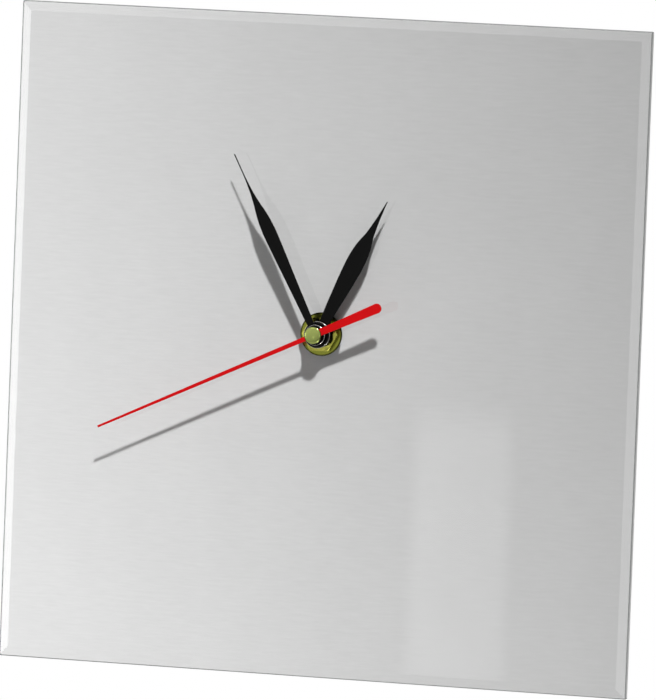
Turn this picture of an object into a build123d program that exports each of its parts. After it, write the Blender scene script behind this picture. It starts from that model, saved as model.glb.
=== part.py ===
from build123d import *
from math import atan2, cos, degrees, radians, sin
import os

# A frameless square glass wall clock with a quartz movement behind the panel.
# Millimetres.  +Z is up and -Y faces the viewer.  The origin is on the hand
# axis, in the plane of the wall.  A depth is a distance out from the wall, so
# depth d lies at y = -d.  In a sketch, the first axis is x and the second z.

os.makedirs("parts", exist_ok=True)

# Glass panel and the printed film on its back
PANEL_SIDE = 300.0
PANEL_THICKNESS = 4.0
BEVEL_WIDTH = 4.5
BEVEL_DROP = 1.2
PANEL_HOLE_GAP = 0.4
HOLE_ABOVE_CENTRE = 6.0
FILM_THICKNESS = 0.25
FILM_MARGIN = 0.5

# Movement case, whose overall size follows from the battery, the train and the coil
CASE_WALL = 1.2
CASE_CORNER_RADIUS = 3.0
TRAIN_TOP_GAP = 1.74
COIL_WALL_GAP = 0.4
COVER_THICKNESS = 1.4
COVER_RAIL_HEIGHT = 1.2
COVER_RAIL_WALL = 0.8
COVER_GAP = 0.12
HOOK_SPACING = 18.0
HOOK_WIDTH = 5.0
HOOK_THICKNESS = 0.8
HOOK_CATCH_DEPTH = 4.0
HOOK_FRONT_DEPTH = 5.6
HOOK_NOSE = 0.8
HOOK_WINDOW_GAP = 0.3
FINGER_NOTCH_WIDTH = 18.0
FINGER_NOTCH_FLOOR_WIDTH = 10.0
FINGER_NOTCH_DEPTH = 5.0

# Battery, an AA cell
BATTERY_DIAMETER = 14.2
BATTERY_BODY_LENGTH = 49.0
BATTERY_NUB_DIAMETER = 5.5
BATTERY_NUB_LENGTH = 1.5
BATTERY_SIDE_GAP = 0.4
BATTERY_FLOOR_GAP = 0.2
BATTERY_BACK_GAP = 0.9
BATTERY_END_GAP = 0.2
BATTERY_EDGE_CHAMFER = 0.5

# Battery contacts, bent from spring strip
CONTACT_THICKNESS = 0.3
CONTACT_WIDTH = 7.0
CONTACT_WALL_GAP = 0.1
CONTACT_BOW_DEPTH = 1.9
CONTACT_BAY_MARGIN = 1.6
CONTACT_FINGER_LENGTH = 4.8
CONTACT_FINGER_WIDTH = 3.4
CONTACT_SLOT_GAP = 0.2

# Threaded bushing, washer, nut, gasket
BUSHING_DIAMETER = 8.0
BUSHING_FLANGE_ACROSS_FLATS = 11.0
BUSHING_FLANGE_THICKNESS = 0.6
BUSHING_STAND = 0.5
WASHER_DIAMETER = 19.8
WASHER_THICKNESS = 0.8
WASHER_BORE_GAP = 0.1
NUT_ACROSS_FLATS = 15.0
NUT_THICKNESS = 2.5
NUT_CHAMFER = 0.7
GASKET_DIAMETER = 30.0
GASKET_THICKNESS = 1.0

# Hanger bracket, bent from steel sheet
HANGER_THICKNESS = 1.0
HANGER_WIDTH = 22.0
HANGER_FOOT_BELOW_AXIS = 10.0
HANGER_CASE_GAP = 0.6
HANGER_BEND_RADIUS = 1.5
HANGER_TAB_HEIGHT = 18.0
HANGER_HOLE_DIAMETER = 6.0
HANGER_HOLE_BELOW_TIP = 7.0
HANGER_CORNER_RADIUS = 5.0
HANGER_FOOT_CHAMFER = 3.0

# Concentric arbors and pipes on the hand axis
RUNNING_GAP = 0.05
SECONDS_ARBOR_DIAMETER = 1.0
MINUTE_PIPE_DIAMETER = 3.0
CANNON_JOURNAL_DIAMETER = 2.6
HOUR_PIPE_DIAMETER = 5.0

# Teeth: counts, modules and the shares of the module and the pitch they use
ROTOR_PINION_TEETH = 6
INTERMEDIATE_WHEEL_TEETH = 30
INTERMEDIATE_PINION_TEETH = 6
SECONDS_WHEEL_TEETH = 36
SECONDS_PINION_TEETH = 8
THIRD_WHEEL_TEETH = 60
THIRD_PINION_TEETH = 6
CENTRE_WHEEL_TEETH = 48
CANNON_PINION_TEETH = 10
MOTION_WHEEL_TEETH = 30
MOTION_PINION_TEETH = 8
HOUR_WHEEL_TEETH = 32
SETTING_PINION_TEETH = 10
ROTOR_MODULE = 0.33
THIRD_MODULE = 0.25
MOTION_MODULE = 0.42
ADDENDUM_SHARE = 0.75
DEDENDUM_SHARE = 1.5
TOOTH_TIP_SHARE = 0.08

# Directions from the hand axis to the other arbors, in degrees from +x to +z
MOTION_DIRECTION = 200.0
THIRD_DIRECTION = 100.0
INTERMEDIATE_DIRECTION = 10.0
ROTOR_DIRECTION = 20.0
SETTING_DIRECTION = 180.0

# Thicknesses and end gaps of the train
LAYER_GAP = 0.2
WHEEL_GAP = 0.4
HOUR_WHEEL_THICKNESS = 1.2
MOTION_WHEEL_THICKNESS = 1.0
CANNON_PINION_LENGTH = 1.4
CENTRE_WHEEL_THICKNESS = 1.0
THIRD_WHEEL_THICKNESS = 0.8
SECONDS_WHEEL_THICKNESS = 0.8
INTERMEDIATE_WHEEL_THICKNESS = 0.6
ROTOR_PINION_LENGTH = 1.0
MAGNET_DIAMETER = 6.4
MAGNET_LENGTH = 2.4
MAGNET_BORE_DIAMETER = 2.0
MAGNET_PLATE_GAP = 0.5
ARBOR_DIAMETER = 0.9
PIVOT_DIAMETER = 0.6
PIVOT_LENGTH = 0.9
BOSS_DIAMETER = 1.5
BOSS_GAP = 0.2
MOTION_POST_DIAMETER = 1.1

# Train plate and the pillars that carry it
PLATE_THICKNESS = 1.0
PLATE_COVER_GAP = 1.0
PLATE_RIM = 1.2
PILLAR_DIAMETER = 3.2
PILLAR_PIN_DIAMETER = 1.6
PILLAR_GAP = 0.4
PEG_SIDES = 8
UPPER_LEFT_PILLAR_DIRECTION = 160.0
UPPER_RIGHT_PILLAR_DIRECTION = 35.0
LOWER_PILLAR_DIRECTION = 287.0

# Stepping motor: stator, coil core, bobbin and winding
STATOR_THICKNESS = 0.8
STATOR_AIR_GAP = 0.4
STATOR_RING_WALL = 1.4
STATOR_ARM_WIDTH = 3.6
STATOR_BAR_WIDTH = 5.6
CORE_WIDTH = 3.2
COIL_LENGTH = 14.9
COIL_WIDTH = 6.0
COIL_DEPTH = 5.0
BOBBIN_WALL = 0.7
BOBBIN_FLANGE_THICKNESS = 0.8
BOBBIN_FLANGE_OVERHANG = 0.3
COIL_STATOR_GAP = 0.4
COIL_ARM_GAP = 0.9

# Circuit board with its chip and its crystal
BOARD_END_GAP = 2.8
BOARD_WIDTH = 6.0
BOARD_THICKNESS = 1.0
BOARD_COVER_GAP = 3.6
BOARD_PILLAR_GAP = 1.95
BOARD_DIVIDER_GAP = 0.8
BOARD_LEDGE_WIDTH = 2.4
BOARD_LEDGE_SPACING = 20.0
CHIP_DIAMETER = 5.2
CHIP_HEIGHT = 1.0
CHIP_SLOPE_SHARE = 0.6
CHIP_OFFSET = 8.0
CRYSTAL_DIAMETER = 2.0
CRYSTAL_LENGTH = 6.2
CRYSTAL_OFFSET = -9.0

# Setting knob in its well in the back cover
KNOB_DIAMETER = 9.6
KNOB_THICKNESS = 2.6
KNOB_SINK = 0.4
KNOB_FLUTES = 16
KNOB_FLUTE_DEPTH = 0.5
KNOB_FLOOR_GAP = 0.3
KNOB_FINGER_GAP = 1.9
WELL_WALL = 1.4
SETTING_SHAFT_DIAMETER = 2.0

# Hands
HAND_THICKNESS = 0.45
HAND_STACK_GAP = 0.45
PIPE_SHORT_OF_COLLET = 0.2
COLLET_EDGE_CHAMFER = 0.3
HOUR_HAND_LENGTH = 69.0
HOUR_HAND_WIDTH = 8.6
HOUR_HAND_WIDEST_AT = 36.5
HOUR_HAND_ROOT_WIDTH = 3.2
HOUR_HAND_TIP_WIDTH = 0.5
HOUR_HAND_NEEDLE_LENGTH = 4.5
HOUR_COLLET_DIAMETER = 12.2
HOUR_COLLET_BARREL_DIAMETER = 7.2
HOUR_COLLET_BARREL_LENGTH = 1.6
HOUR_COLLET_DISC_THICKNESS = 1.0
HOUR_HAND_ANGLE = 26.4
MINUTE_HAND_LENGTH = 90.0
MINUTE_HAND_WIDTH = 5.6
MINUTE_HAND_WIDEST_AT = 53.0
MINUTE_HAND_ROOT_WIDTH = 2.6
MINUTE_HAND_TIP_WIDTH = 0.4
MINUTE_HAND_NEEDLE_LENGTH = 14.0
MINUTE_COLLET_DIAMETER = 9.3
MINUTE_COLLET_BARREL_DIAMETER = 5.2
MINUTE_COLLET_BARREL_LENGTH = 1.5
MINUTE_COLLET_DISC_THICKNESS = 0.9
MINUTE_HAND_ANGLE = -27.8
SECOND_HAND_LENGTH = 112.0
SECOND_HAND_ROOT_WIDTH = 2.2
SECOND_HAND_TIP_WIDTH = 0.5
SECOND_TAIL_LENGTH = 35.0
SECOND_TAIL_ROOT_WIDTH = 2.9
SECOND_TAIL_WIDTH = 4.5
SECOND_HAND_EYE_DIAMETER = 5.4
SECOND_HAND_ANGLE = 245.0
SECOND_TUBE_DIAMETER = 2.4
SECOND_TUBE_LENGTH = 2.1
CAP_DIAMETER = 7.9
CAP_HEIGHT = 1.2
CAP_CROWN_STEPS = 2
CAP_CROWN_SHARE = 0.65

# One overrun for every cut that passes right through
OVERRUN = 1.0


# Depths of the train, counted out from the wall
plate_back = COVER_THICKNESS + PLATE_COVER_GAP
plate_front = plate_back + PLATE_THICKNESS
magnet_back = plate_front + MAGNET_PLATE_GAP
magnet_front = magnet_back + MAGNET_LENGTH
rotor_pinion_back = magnet_front + WHEEL_GAP
rotor_pinion_front = rotor_pinion_back + ROTOR_PINION_LENGTH
intermediate_wheel_front = rotor_pinion_front - LAYER_GAP
intermediate_wheel_back = intermediate_wheel_front - INTERMEDIATE_WHEEL_THICKNESS
seconds_wheel_back = intermediate_wheel_front + WHEEL_GAP + LAYER_GAP
seconds_wheel_front = seconds_wheel_back + SECONDS_WHEEL_THICKNESS
intermediate_pinion_front = seconds_wheel_front + LAYER_GAP
third_wheel_back = seconds_wheel_front + WHEEL_GAP + LAYER_GAP
third_wheel_front = third_wheel_back + THIRD_WHEEL_THICKNESS
seconds_pinion_front = third_wheel_front + LAYER_GAP / 2
centre_wheel_back = third_wheel_front + WHEEL_GAP + LAYER_GAP
centre_wheel_front = centre_wheel_back + CENTRE_WHEEL_THICKNESS
third_pinion_front = centre_wheel_front + LAYER_GAP
cannon_journal_back = centre_wheel_back - LAYER_GAP
cannon_back = centre_wheel_front + WHEEL_GAP
cannon_front = cannon_back + CANNON_PINION_LENGTH
motion_wheel_front = cannon_front - LAYER_GAP
motion_wheel_back = motion_wheel_front - MOTION_WHEEL_THICKNESS
hour_wheel_back = cannon_front + LAYER_GAP
hour_wheel_front = hour_wheel_back + HOUR_WHEEL_THICKNESS

# The floor of the case clears the train and the battery, whichever is deeper
train_depth = hour_wheel_front + LAYER_GAP
cell_depth = BATTERY_BACK_GAP + BATTERY_DIAMETER + BATTERY_FLOOR_GAP
case_floor = max(train_depth, cell_depth)
case_front = case_floor + CASE_WALL
battery_depth = case_floor - BATTERY_FLOOR_GAP - BATTERY_DIAMETER / 2

# Depths of what is stacked on the case
hanger_front = case_front + HANGER_THICKNESS
gasket_front = hanger_front + GASKET_THICKNESS
film_front = gasket_front + FILM_THICKNESS
panel_front = film_front + PANEL_THICKNESS
washer_front = panel_front + WASHER_THICKNESS
nut_front = washer_front + NUT_THICKNESS
bushing_front = nut_front + BUSHING_STAND
hour_collet_back = bushing_front + HAND_STACK_GAP
hour_hand_front = hour_collet_back + HOUR_COLLET_BARREL_LENGTH
hour_collet_front = hour_hand_front + HOUR_COLLET_DISC_THICKNESS
minute_collet_back = hour_collet_front + HAND_STACK_GAP
minute_hand_front = minute_collet_back + MINUTE_COLLET_BARREL_LENGTH
minute_collet_front = minute_hand_front + MINUTE_COLLET_DISC_THICKNESS
second_tube_back = minute_collet_front + HAND_STACK_GAP
second_hand_front = second_tube_back + SECOND_TUBE_LENGTH
cap_front = second_hand_front + CAP_HEIGHT

# Radii that several pieces share
bushing_radius = BUSHING_DIAMETER / 2
panel_hole_radius = bushing_radius + PANEL_HOLE_GAP
hour_pipe_radius = HOUR_PIPE_DIAMETER / 2
minute_pipe_radius = MINUTE_PIPE_DIAMETER / 2
journal_radius = CANNON_JOURNAL_DIAMETER / 2
seconds_arbor_radius = SECONDS_ARBOR_DIAMETER / 2
arbor_radius = ARBOR_DIAMETER / 2
pivot_radius = PIVOT_DIAMETER / 2
boss_radius = BOSS_DIAMETER / 2
pillar_radius = PILLAR_DIAMETER / 2
pin_radius = PILLAR_PIN_DIAMETER / 2
magnet_radius = MAGNET_DIAMETER / 2
shaft_radius = SETTING_SHAFT_DIAMETER / 2


def polar(distance, direction, start=(0.0, 0.0)):
    """A point at a distance and direction from a starting point."""
    angle = radians(direction)
    return (start[0] + distance * cos(angle), start[1] + distance * sin(angle))


def centre_distance(module, teeth_a, teeth_b):
    """The distance between the arbors of two wheels that mesh."""
    return module * (teeth_a + teeth_b) / 2


def meshing_module(distance, teeth_a, teeth_b):
    """The module at which two wheels mesh across a given distance."""
    return 2 * distance / (teeth_a + teeth_b)


def tip_radius(teeth, module):
    """The outside radius of a wheel."""
    return (teeth / 2 + ADDENDUM_SHARE) * module


# Arbor positions and the modules that follow from them
motion_distance = centre_distance(MOTION_MODULE, CANNON_PINION_TEETH, MOTION_WHEEL_TEETH)
hour_module = meshing_module(motion_distance, MOTION_PINION_TEETH, HOUR_WHEEL_TEETH)
third_distance = centre_distance(THIRD_MODULE, SECONDS_PINION_TEETH, THIRD_WHEEL_TEETH)
centre_module = meshing_module(third_distance, THIRD_PINION_TEETH, CENTRE_WHEEL_TEETH)
centre_wheel_tip = tip_radius(CENTRE_WHEEL_TEETH, centre_module)
intermediate_distance = centre_wheel_tip + boss_radius + BOSS_GAP
seconds_module = meshing_module(
    intermediate_distance, INTERMEDIATE_PINION_TEETH, SECONDS_WHEEL_TEETH)
seconds_wheel_tip = tip_radius(SECONDS_WHEEL_TEETH, seconds_module)
third_wheel_tip = tip_radius(THIRD_WHEEL_TEETH, THIRD_MODULE)
rotor_distance = centre_distance(ROTOR_MODULE, ROTOR_PINION_TEETH, INTERMEDIATE_WHEEL_TEETH)
setting_distance = centre_distance(MOTION_MODULE, SETTING_PINION_TEETH, MOTION_WHEEL_TEETH)

hand_axis = (0.0, 0.0)
motion_axis = polar(motion_distance, MOTION_DIRECTION)
third_axis = polar(third_distance, THIRD_DIRECTION)
intermediate_axis = polar(intermediate_distance, INTERMEDIATE_DIRECTION)
rotor_axis = polar(rotor_distance, ROTOR_DIRECTION, intermediate_axis)
setting_axis = polar(setting_distance, SETTING_DIRECTION, motion_axis)

# The pillars of the plate stand clear of the wheels
pillar_room = pillar_radius + PILLAR_GAP
upper_left_pillar = polar(
    third_wheel_tip + pillar_room, UPPER_LEFT_PILLAR_DIRECTION, third_axis)
upper_right_pillar = polar(
    third_wheel_tip + pillar_room, UPPER_RIGHT_PILLAR_DIRECTION, third_axis)
lower_pillar = polar(seconds_wheel_tip + pillar_room, LOWER_PILLAR_DIRECTION)
plate_pillars = [upper_left_pillar, upper_right_pillar, lower_pillar]

# The motor: the coil stands upright beside the stator's ring
stator_front = magnet_back + (MAGNET_LENGTH + STATOR_THICKNESS) / 2
stator_back = stator_front - STATOR_THICKNESS
core_back = stator_back - STATOR_THICKNESS
core_depth = (stator_back + core_back) / 2
stator_ring_radius = magnet_radius + STATOR_AIR_GAP + STATOR_RING_WALL
coil_x = (rotor_axis[0] + stator_ring_radius + COIL_STATOR_GAP
          + BOBBIN_FLANGE_OVERHANG + COIL_WIDTH / 2)
coil_right = coil_x + COIL_WIDTH / 2 + BOBBIN_FLANGE_OVERHANG
arm_offset = COIL_LENGTH / 2 + COIL_ARM_GAP + STATOR_ARM_WIDTH / 2
coil_pillars = [(coil_x, rotor_axis[1] + side * arm_offset) for side in (-1, 1)]

# Outline of the case and its two rooms: the train and the board above, the battery below
cell_room = (BATTERY_BODY_LENGTH + BATTERY_NUB_LENGTH + 2 * BATTERY_END_GAP
             + CONTACT_BOW_DEPTH + 2 * (CONTACT_THICKNESS + CONTACT_WALL_GAP))
room_half_width = max(cell_room / 2, coil_right + COIL_WALL_GAP)
case_width = 2 * (room_half_width + CASE_WALL)
room_top = third_axis[1] + third_wheel_tip + TRAIN_TOP_GAP
case_top = room_top + CASE_WALL
board_middle = lower_pillar[1] - pillar_radius - BOARD_PILLAR_GAP - BOARD_WIDTH / 2
room_bottom = board_middle - BOARD_WIDTH / 2 - BOARD_DIVIDER_GAP
bay_top = room_bottom - CASE_WALL
bay_bottom = bay_top - BATTERY_DIAMETER - 2 * BATTERY_SIDE_GAP
case_bottom = bay_bottom - CASE_WALL
bay_middle = (bay_bottom + bay_top) / 2
cover_bottom = (bay_top + room_bottom) / 2

# The board lies along the divider, its back face towards the wall
board_back = COVER_THICKNESS + BOARD_COVER_GAP
board_front = board_back + BOARD_THICKNESS
board_half_length = room_half_width - BOARD_END_GAP
board_ledges = [side * BOARD_LEDGE_SPACING for side in (-1, 0, 1)]

# The bracket's shelf passes over the case, and its hole lies above that
hanger_shelf = case_top + HANGER_CASE_GAP + HANGER_BEND_RADIUS
hanger_hole_centre = (0.0, hanger_shelf + HANGER_TAB_HEIGHT - HANGER_HOLE_BELOW_TIP)

# The knob's well
well_radius = KNOB_DIAMETER / 2 + KNOB_FINGER_GAP
well_floor_back = KNOB_SINK + KNOB_THICKNESS + KNOB_FLOOR_GAP
well_floor_front = well_floor_back + WELL_WALL


def face_at(depth):
    """The sketch plane at a depth, seen from the front."""
    return Plane(origin=(0, -depth, 0), x_dir=(1, 0, 0), z_dir=(0, -1, 0))


def slab(sketch, back, front):
    """A sketch made solid between two depths."""
    return extrude(face_at(back) * sketch, front - back)


def disc(radius, back, front, centre=hand_axis):
    """A round bar along the depth."""
    return slab(Pos(*centre) * Circle(radius), back, front)


def peg(radius, back, front, centre):
    """A small moulded pin or the hole for one, with a few flat sides."""
    return slab(Pos(*centre) * RegularPolygon(radius, PEG_SIDES), back, front)


def block(left, right, bottom, top, back, front):
    """A plain block between six sides."""
    middle = ((left + right) / 2, (bottom + top) / 2)
    return slab(Pos(*middle) * Rectangle(right - left, top - bottom), back, front)


def turned(points):
    """A piece turned about the hand axis from (radius, depth) points."""
    profile = make_face(Polyline(*[(radius, -depth) for radius, depth in points], close=True))
    return revolve(profile, Axis.Y, 360)


def toothed(teeth, module, phase, centre=hand_axis):
    """The outline of a wheel, with one tooth at the phase angle and V-shaped gaps."""
    root = (teeth / 2 - DEDENDUM_SHARE) * module
    tip = tip_radius(teeth, module)
    pitch = 360 / teeth
    corners = ((root, -0.5), (tip, -TOOTH_TIP_SHARE), (tip, TOOTH_TIP_SHARE))
    points = [polar(radius, phase + pitch * (number + share), centre)
              for number in range(teeth) for radius, share in corners]
    return make_face(Polyline(*points, close=True))


def meshed_phase(teeth_a, phase_a, teeth_b, centre_a, centre_b):
    """The phase at which wheel b's teeth fall between those of wheel a."""
    direction = degrees(atan2(centre_b[1] - centre_a[1], centre_b[0] - centre_a[0]))
    share = (direction - phase_a) / (360 / teeth_a)
    return direction + 180 - (360 / teeth_b) * (0.5 - share)


def save(name, piece):
    """Write one node's solids."""
    export_step(piece, f"parts/{name}.step")


# Glass and print

def panel_square(side):
    """A square on the panel's own centre, which lies below the hand axis."""
    return Pos(0, -HOLE_ABOVE_CENTRE) * Rectangle(side, side)


def glass_panel():
    """Float glass with a wide bevel ground round its front."""
    bevel_start = panel_front - BEVEL_DROP
    body = slab(panel_square(PANEL_SIDE), film_front, bevel_start)
    bevel = loft([face_at(bevel_start) * panel_square(PANEL_SIDE),
                  face_at(panel_front) * panel_square(PANEL_SIDE - 2 * BEVEL_WIDTH)], ruled=True)
    return body + bevel - disc(panel_hole_radius, film_front - OVERRUN, panel_front + OVERRUN)


def printed_backing():
    """The printed film that is bonded to the back of the glass."""
    square = panel_square(PANEL_SIDE - 2 * FILM_MARGIN)
    return slab(square - Circle(panel_hole_radius), gasket_front, film_front)


# Fixings round the bushing

def rubber_gasket():
    """The rubber washer between the hanger and the print."""
    hole = bushing_radius + WASHER_BORE_GAP
    return slab(Circle(GASKET_DIAMETER / 2) - Circle(hole), hanger_front, gasket_front)


def brass_washer():
    """The flat washer on the face of the glass."""
    hole = bushing_radius + WASHER_BORE_GAP
    return slab(Circle(WASHER_DIAMETER / 2) - Circle(hole), panel_front, washer_front)


def hex_nut():
    """The hexagon nut, with its corners chamfered at the front."""
    prism = slab(RegularPolygon(NUT_ACROSS_FLATS / 2, 6, major_radius=False),
                 washer_front, nut_front)
    corner = NUT_ACROSS_FLATS / 2 / cos(radians(30)) + NUT_CHAMFER / 2
    turned_blank = turned([
        (bushing_radius, washer_front), (corner, washer_front),
        (corner, nut_front - NUT_CHAMFER), (corner - 2 * NUT_CHAMFER, nut_front),
        (bushing_radius, nut_front)])
    return prism & turned_blank


def bushing_flange(back):
    """The hexagon that keeps the bushing from turning in the floor of the case."""
    return slab(RegularPolygon(BUSHING_FLANGE_ACROSS_FLATS / 2, 6, major_radius=False),
                back, case_floor + BUSHING_FLANGE_THICKNESS)


def threaded_bushing():
    """The brass bushing that is moulded into the floor of the case."""
    bore = disc(hour_pipe_radius + RUNNING_GAP, case_floor - OVERRUN, bushing_front + OVERRUN)
    return bushing_flange(case_floor) + disc(bushing_radius, case_floor, bushing_front) - bore


def hanger_bracket():
    """A bent steel strap: clamped under the gasket, hooked on the wall at its top."""
    half = HANGER_THICKNESS / 2
    tip = hanger_shelf + HANGER_TAB_HEIGHT
    centre_line = FilletPolyline(
        (-(case_front + half), -HANGER_FOOT_BELOW_AXIS), (-(case_front + half), hanger_shelf),
        (-half, hanger_shelf), (-half, tip), radius=HANGER_BEND_RADIUS)
    strap = extrude(Plane.YZ * trace(centre_line, HANGER_THICKNESS), HANGER_WIDTH / 2, both=True)
    corners = strap.edges().filter_by(Axis.Y).group_by(Axis.Z)
    strap = fillet(corners[-1], HANGER_CORNER_RADIUS)
    feet = strap.edges().filter_by(Axis.Y).group_by(Axis.Z)[0]
    strap = chamfer(feet, HANGER_FOOT_CHAMFER)
    hole = disc(HANGER_HOLE_DIAMETER / 2, -OVERRUN, HANGER_THICKNESS + OVERRUN,
                hanger_hole_centre)
    shaft_hole = disc(bushing_radius + WASHER_BORE_GAP, case_front - OVERRUN,
                      hanger_front + OVERRUN)
    return strap - hole - shaft_hole


# Case

def movement_case():
    """The front shell: floor towards the glass, rooms for train and battery."""
    middle = (case_top + case_bottom) / 2
    outline = RectangleRounded(case_width, case_top - case_bottom, CASE_CORNER_RADIUS)
    shell = slab(Pos(0, middle) * outline, 0, case_front)
    shell -= block(-room_half_width, room_half_width, room_bottom, room_top, 0, case_floor)
    shell -= block(-room_half_width, room_half_width, bay_bottom, bay_top, 0, case_floor)
    shell -= block(-case_width, case_width, cover_bottom, case_top + OVERRUN, 0, COVER_THICKNESS)
    shell -= contact_slots() + finger_notch()
    for side in (-1, 1):
        shell -= hook_window(side)
    shell -= disc(bushing_radius, case_floor, case_front + OVERRUN)
    shell -= bushing_flange(case_floor - OVERRUN)
    for piece in bearing_bosses() + pillars():
        shell += piece
    return shell


def contact_slots():
    """The slots in the divider through which the contacts reach the board."""
    inner = room_half_width - CONTACT_WALL_GAP - CONTACT_THICKNESS - CONTACT_SLOT_GAP
    front = contact_front + CONTACT_SLOT_GAP
    return (block(inner, room_half_width, bay_top, room_bottom, 0, front)
            + block(-room_half_width, -inner, bay_top, room_bottom, 0, front))


def finger_notch():
    """The notch in the lower wall, for a fingertip behind the battery."""
    half_mouth = FINGER_NOTCH_WIDTH / 2
    half_floor = FINGER_NOTCH_FLOOR_WIDTH / 2
    outline = make_face(Polyline(
        (-half_mouth, OVERRUN), (-half_mouth, 0), (-half_floor, -FINGER_NOTCH_DEPTH),
        (half_floor, -FINGER_NOTCH_DEPTH), (half_mouth, 0), (half_mouth, OVERRUN), close=True))
    return extrude(Plane.XY.offset(case_bottom - OVERRUN) * outline, CASE_WALL + 2 * OVERRUN)


def hook_window(side):
    """The window in the upper wall that a hook of the cover springs into."""
    middle = side * HOOK_SPACING
    reach = HOOK_WIDTH / 2 + HOOK_WINDOW_GAP
    return block(middle - reach, middle + reach, room_top - OVERRUN, case_top + OVERRUN,
                 HOOK_CATCH_DEPTH - HOOK_WINDOW_GAP, HOOK_FRONT_DEPTH + HOOK_WINDOW_GAP)


def bearing_boss(centre, radius, back, hole_radius, hole_front):
    """A boss on the floor of the case with a blind bearing hole."""
    return (peg(radius, back, case_floor, centre)
            - peg(hole_radius, back - OVERRUN, hole_front, centre))


def bearing_bosses():
    """The bosses for the rotor, the wheels and the setting shaft, and one post."""
    hole = pivot_radius + RUNNING_GAP
    reach = PIVOT_LENGTH + LAYER_GAP
    bosses = []
    for centre, pinion_front in ((rotor_axis, rotor_pinion_front),
                                 (intermediate_axis, intermediate_pinion_front),
                                 (third_axis, third_pinion_front),
                                 (setting_axis, cannon_front)):
        top = pinion_front + LAYER_GAP
        bosses.append(bearing_boss(centre, boss_radius, top, hole, top + reach))
    bosses.append(peg(MOTION_POST_DIAMETER / 2, motion_wheel_back, case_floor, motion_axis))
    return bosses


def pillars():
    """The pillars of the train plate and the motor, and the ledges of the board."""
    pieces = []
    for centre in plate_pillars:
        pieces.append(peg(pillar_radius, plate_front, case_floor, centre))
        pieces.append(peg(pin_radius, plate_back, plate_front, centre))
    for centre in coil_pillars:
        pieces.append(peg(pillar_radius, stator_front, case_floor, centre))
        pieces.append(peg(pin_radius, core_back, stator_front, centre))
    for middle in board_ledges:
        pieces.append(block(middle - BOARD_LEDGE_WIDTH / 2, middle + BOARD_LEDGE_WIDTH / 2,
                            bay_top, board_middle + BOARD_WIDTH / 2, board_front, case_floor))
    return pieces


def snap_hook(side):
    """A hook on the cover that springs into a window of the case."""
    top = room_top - COVER_GAP
    bottom = top - HOOK_THICKNESS
    profile = make_face(Polyline(
        (-COVER_THICKNESS, bottom), (-COVER_THICKNESS, top), (-HOOK_CATCH_DEPTH, top),
        (-HOOK_CATCH_DEPTH, top + HOOK_NOSE), (-HOOK_FRONT_DEPTH, top),
        (-HOOK_FRONT_DEPTH, bottom), close=True))
    hook = extrude(Plane.YZ * profile, HOOK_WIDTH / 2, both=True)
    return Pos(side * HOOK_SPACING, 0, 0) * hook


def back_cover():
    """The flat cover over the train, with rails and hooks inside and a well for the knob."""
    height = case_top - cover_bottom
    middle = (case_top + cover_bottom) / 2
    outline = Pos(0, middle) * Rectangle(case_width, height)
    corners = outline.vertices().group_by(Axis.Y)[-1]
    plate = slab(fillet(corners, CASE_CORNER_RADIUS), 0, COVER_THICKNESS)
    rail_half = room_half_width - COVER_GAP
    rail_front = COVER_THICKNESS + COVER_RAIL_HEIGHT
    rail_top = room_top - COVER_GAP
    rail_bottom = room_bottom + COVER_GAP
    rails = block(-rail_half, rail_half, rail_top - COVER_RAIL_WALL, rail_top,
                  COVER_THICKNESS, rail_front)
    rails += block(-rail_half, rail_half, rail_bottom, rail_bottom + COVER_RAIL_WALL,
                   COVER_THICKNESS, rail_front)
    well = peg(well_radius + WELL_WALL, COVER_THICKNESS, well_floor_front, setting_axis)
    cover = plate + rails + well
    for side in (-1, 1):
        cover += snap_hook(side)
    cover -= disc(well_radius, -OVERRUN, well_floor_back, setting_axis)
    return cover - disc(shaft_radius + RUNNING_GAP, 0, well_floor_front + OVERRUN, setting_axis)


def peg_hole(radius, centre):
    """The outline of a peg's hole."""
    return Pos(*centre) * RegularPolygon(radius, PEG_SIDES)


def train_plate():
    """The plate that carries the rear pivots of the train."""
    pivots = (rotor_axis, intermediate_axis, third_axis)
    pads = [peg_hole(pillar_radius + PLATE_RIM, centre) for centre in plate_pillars]
    pads += [peg_hole(arbor_radius + PLATE_RIM, centre) for centre in (*pivots, hand_axis)]
    outline = make_hull([edge for pad in pads for edge in pad.edges()])
    for centre in plate_pillars:
        outline -= peg_hole(pin_radius, centre)
    for centre in pivots:
        outline -= peg_hole(pivot_radius + RUNNING_GAP, centre)
    outline -= Circle(seconds_arbor_radius + RUNNING_GAP)
    return slab(outline, plate_back, plate_front)


# Battery and contacts

contact_outer = room_half_width - CONTACT_WALL_GAP
contact_inner = contact_outer - CONTACT_THICKNESS
contact_back = board_back - CONTACT_THICKNESS
contact_front = contact_back + CONTACT_WIDTH
battery_nub_end = contact_inner - BATTERY_END_GAP
battery_right = battery_nub_end - BATTERY_NUB_LENGTH
battery_left = battery_right - BATTERY_BODY_LENGTH


def contact_finger(side):
    """The finger that bends from a contact onto the back of the board."""
    tip = side * (contact_inner - CONTACT_FINGER_LENGTH)
    root = side * contact_outer
    bottom = board_middle - CONTACT_FINGER_WIDTH / 2
    return block(min(tip, root), max(tip, root), bottom, bottom + CONTACT_FINGER_WIDTH,
                 contact_back, board_back)


def positive_contact():
    """The flat contact at the battery's nub."""
    top = board_middle + CONTACT_FINGER_WIDTH / 2
    strip = block(contact_inner, contact_outer, bay_bottom + CONTACT_BAY_MARGIN, top,
                  contact_back, contact_front)
    return strip + contact_finger(1)


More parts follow.
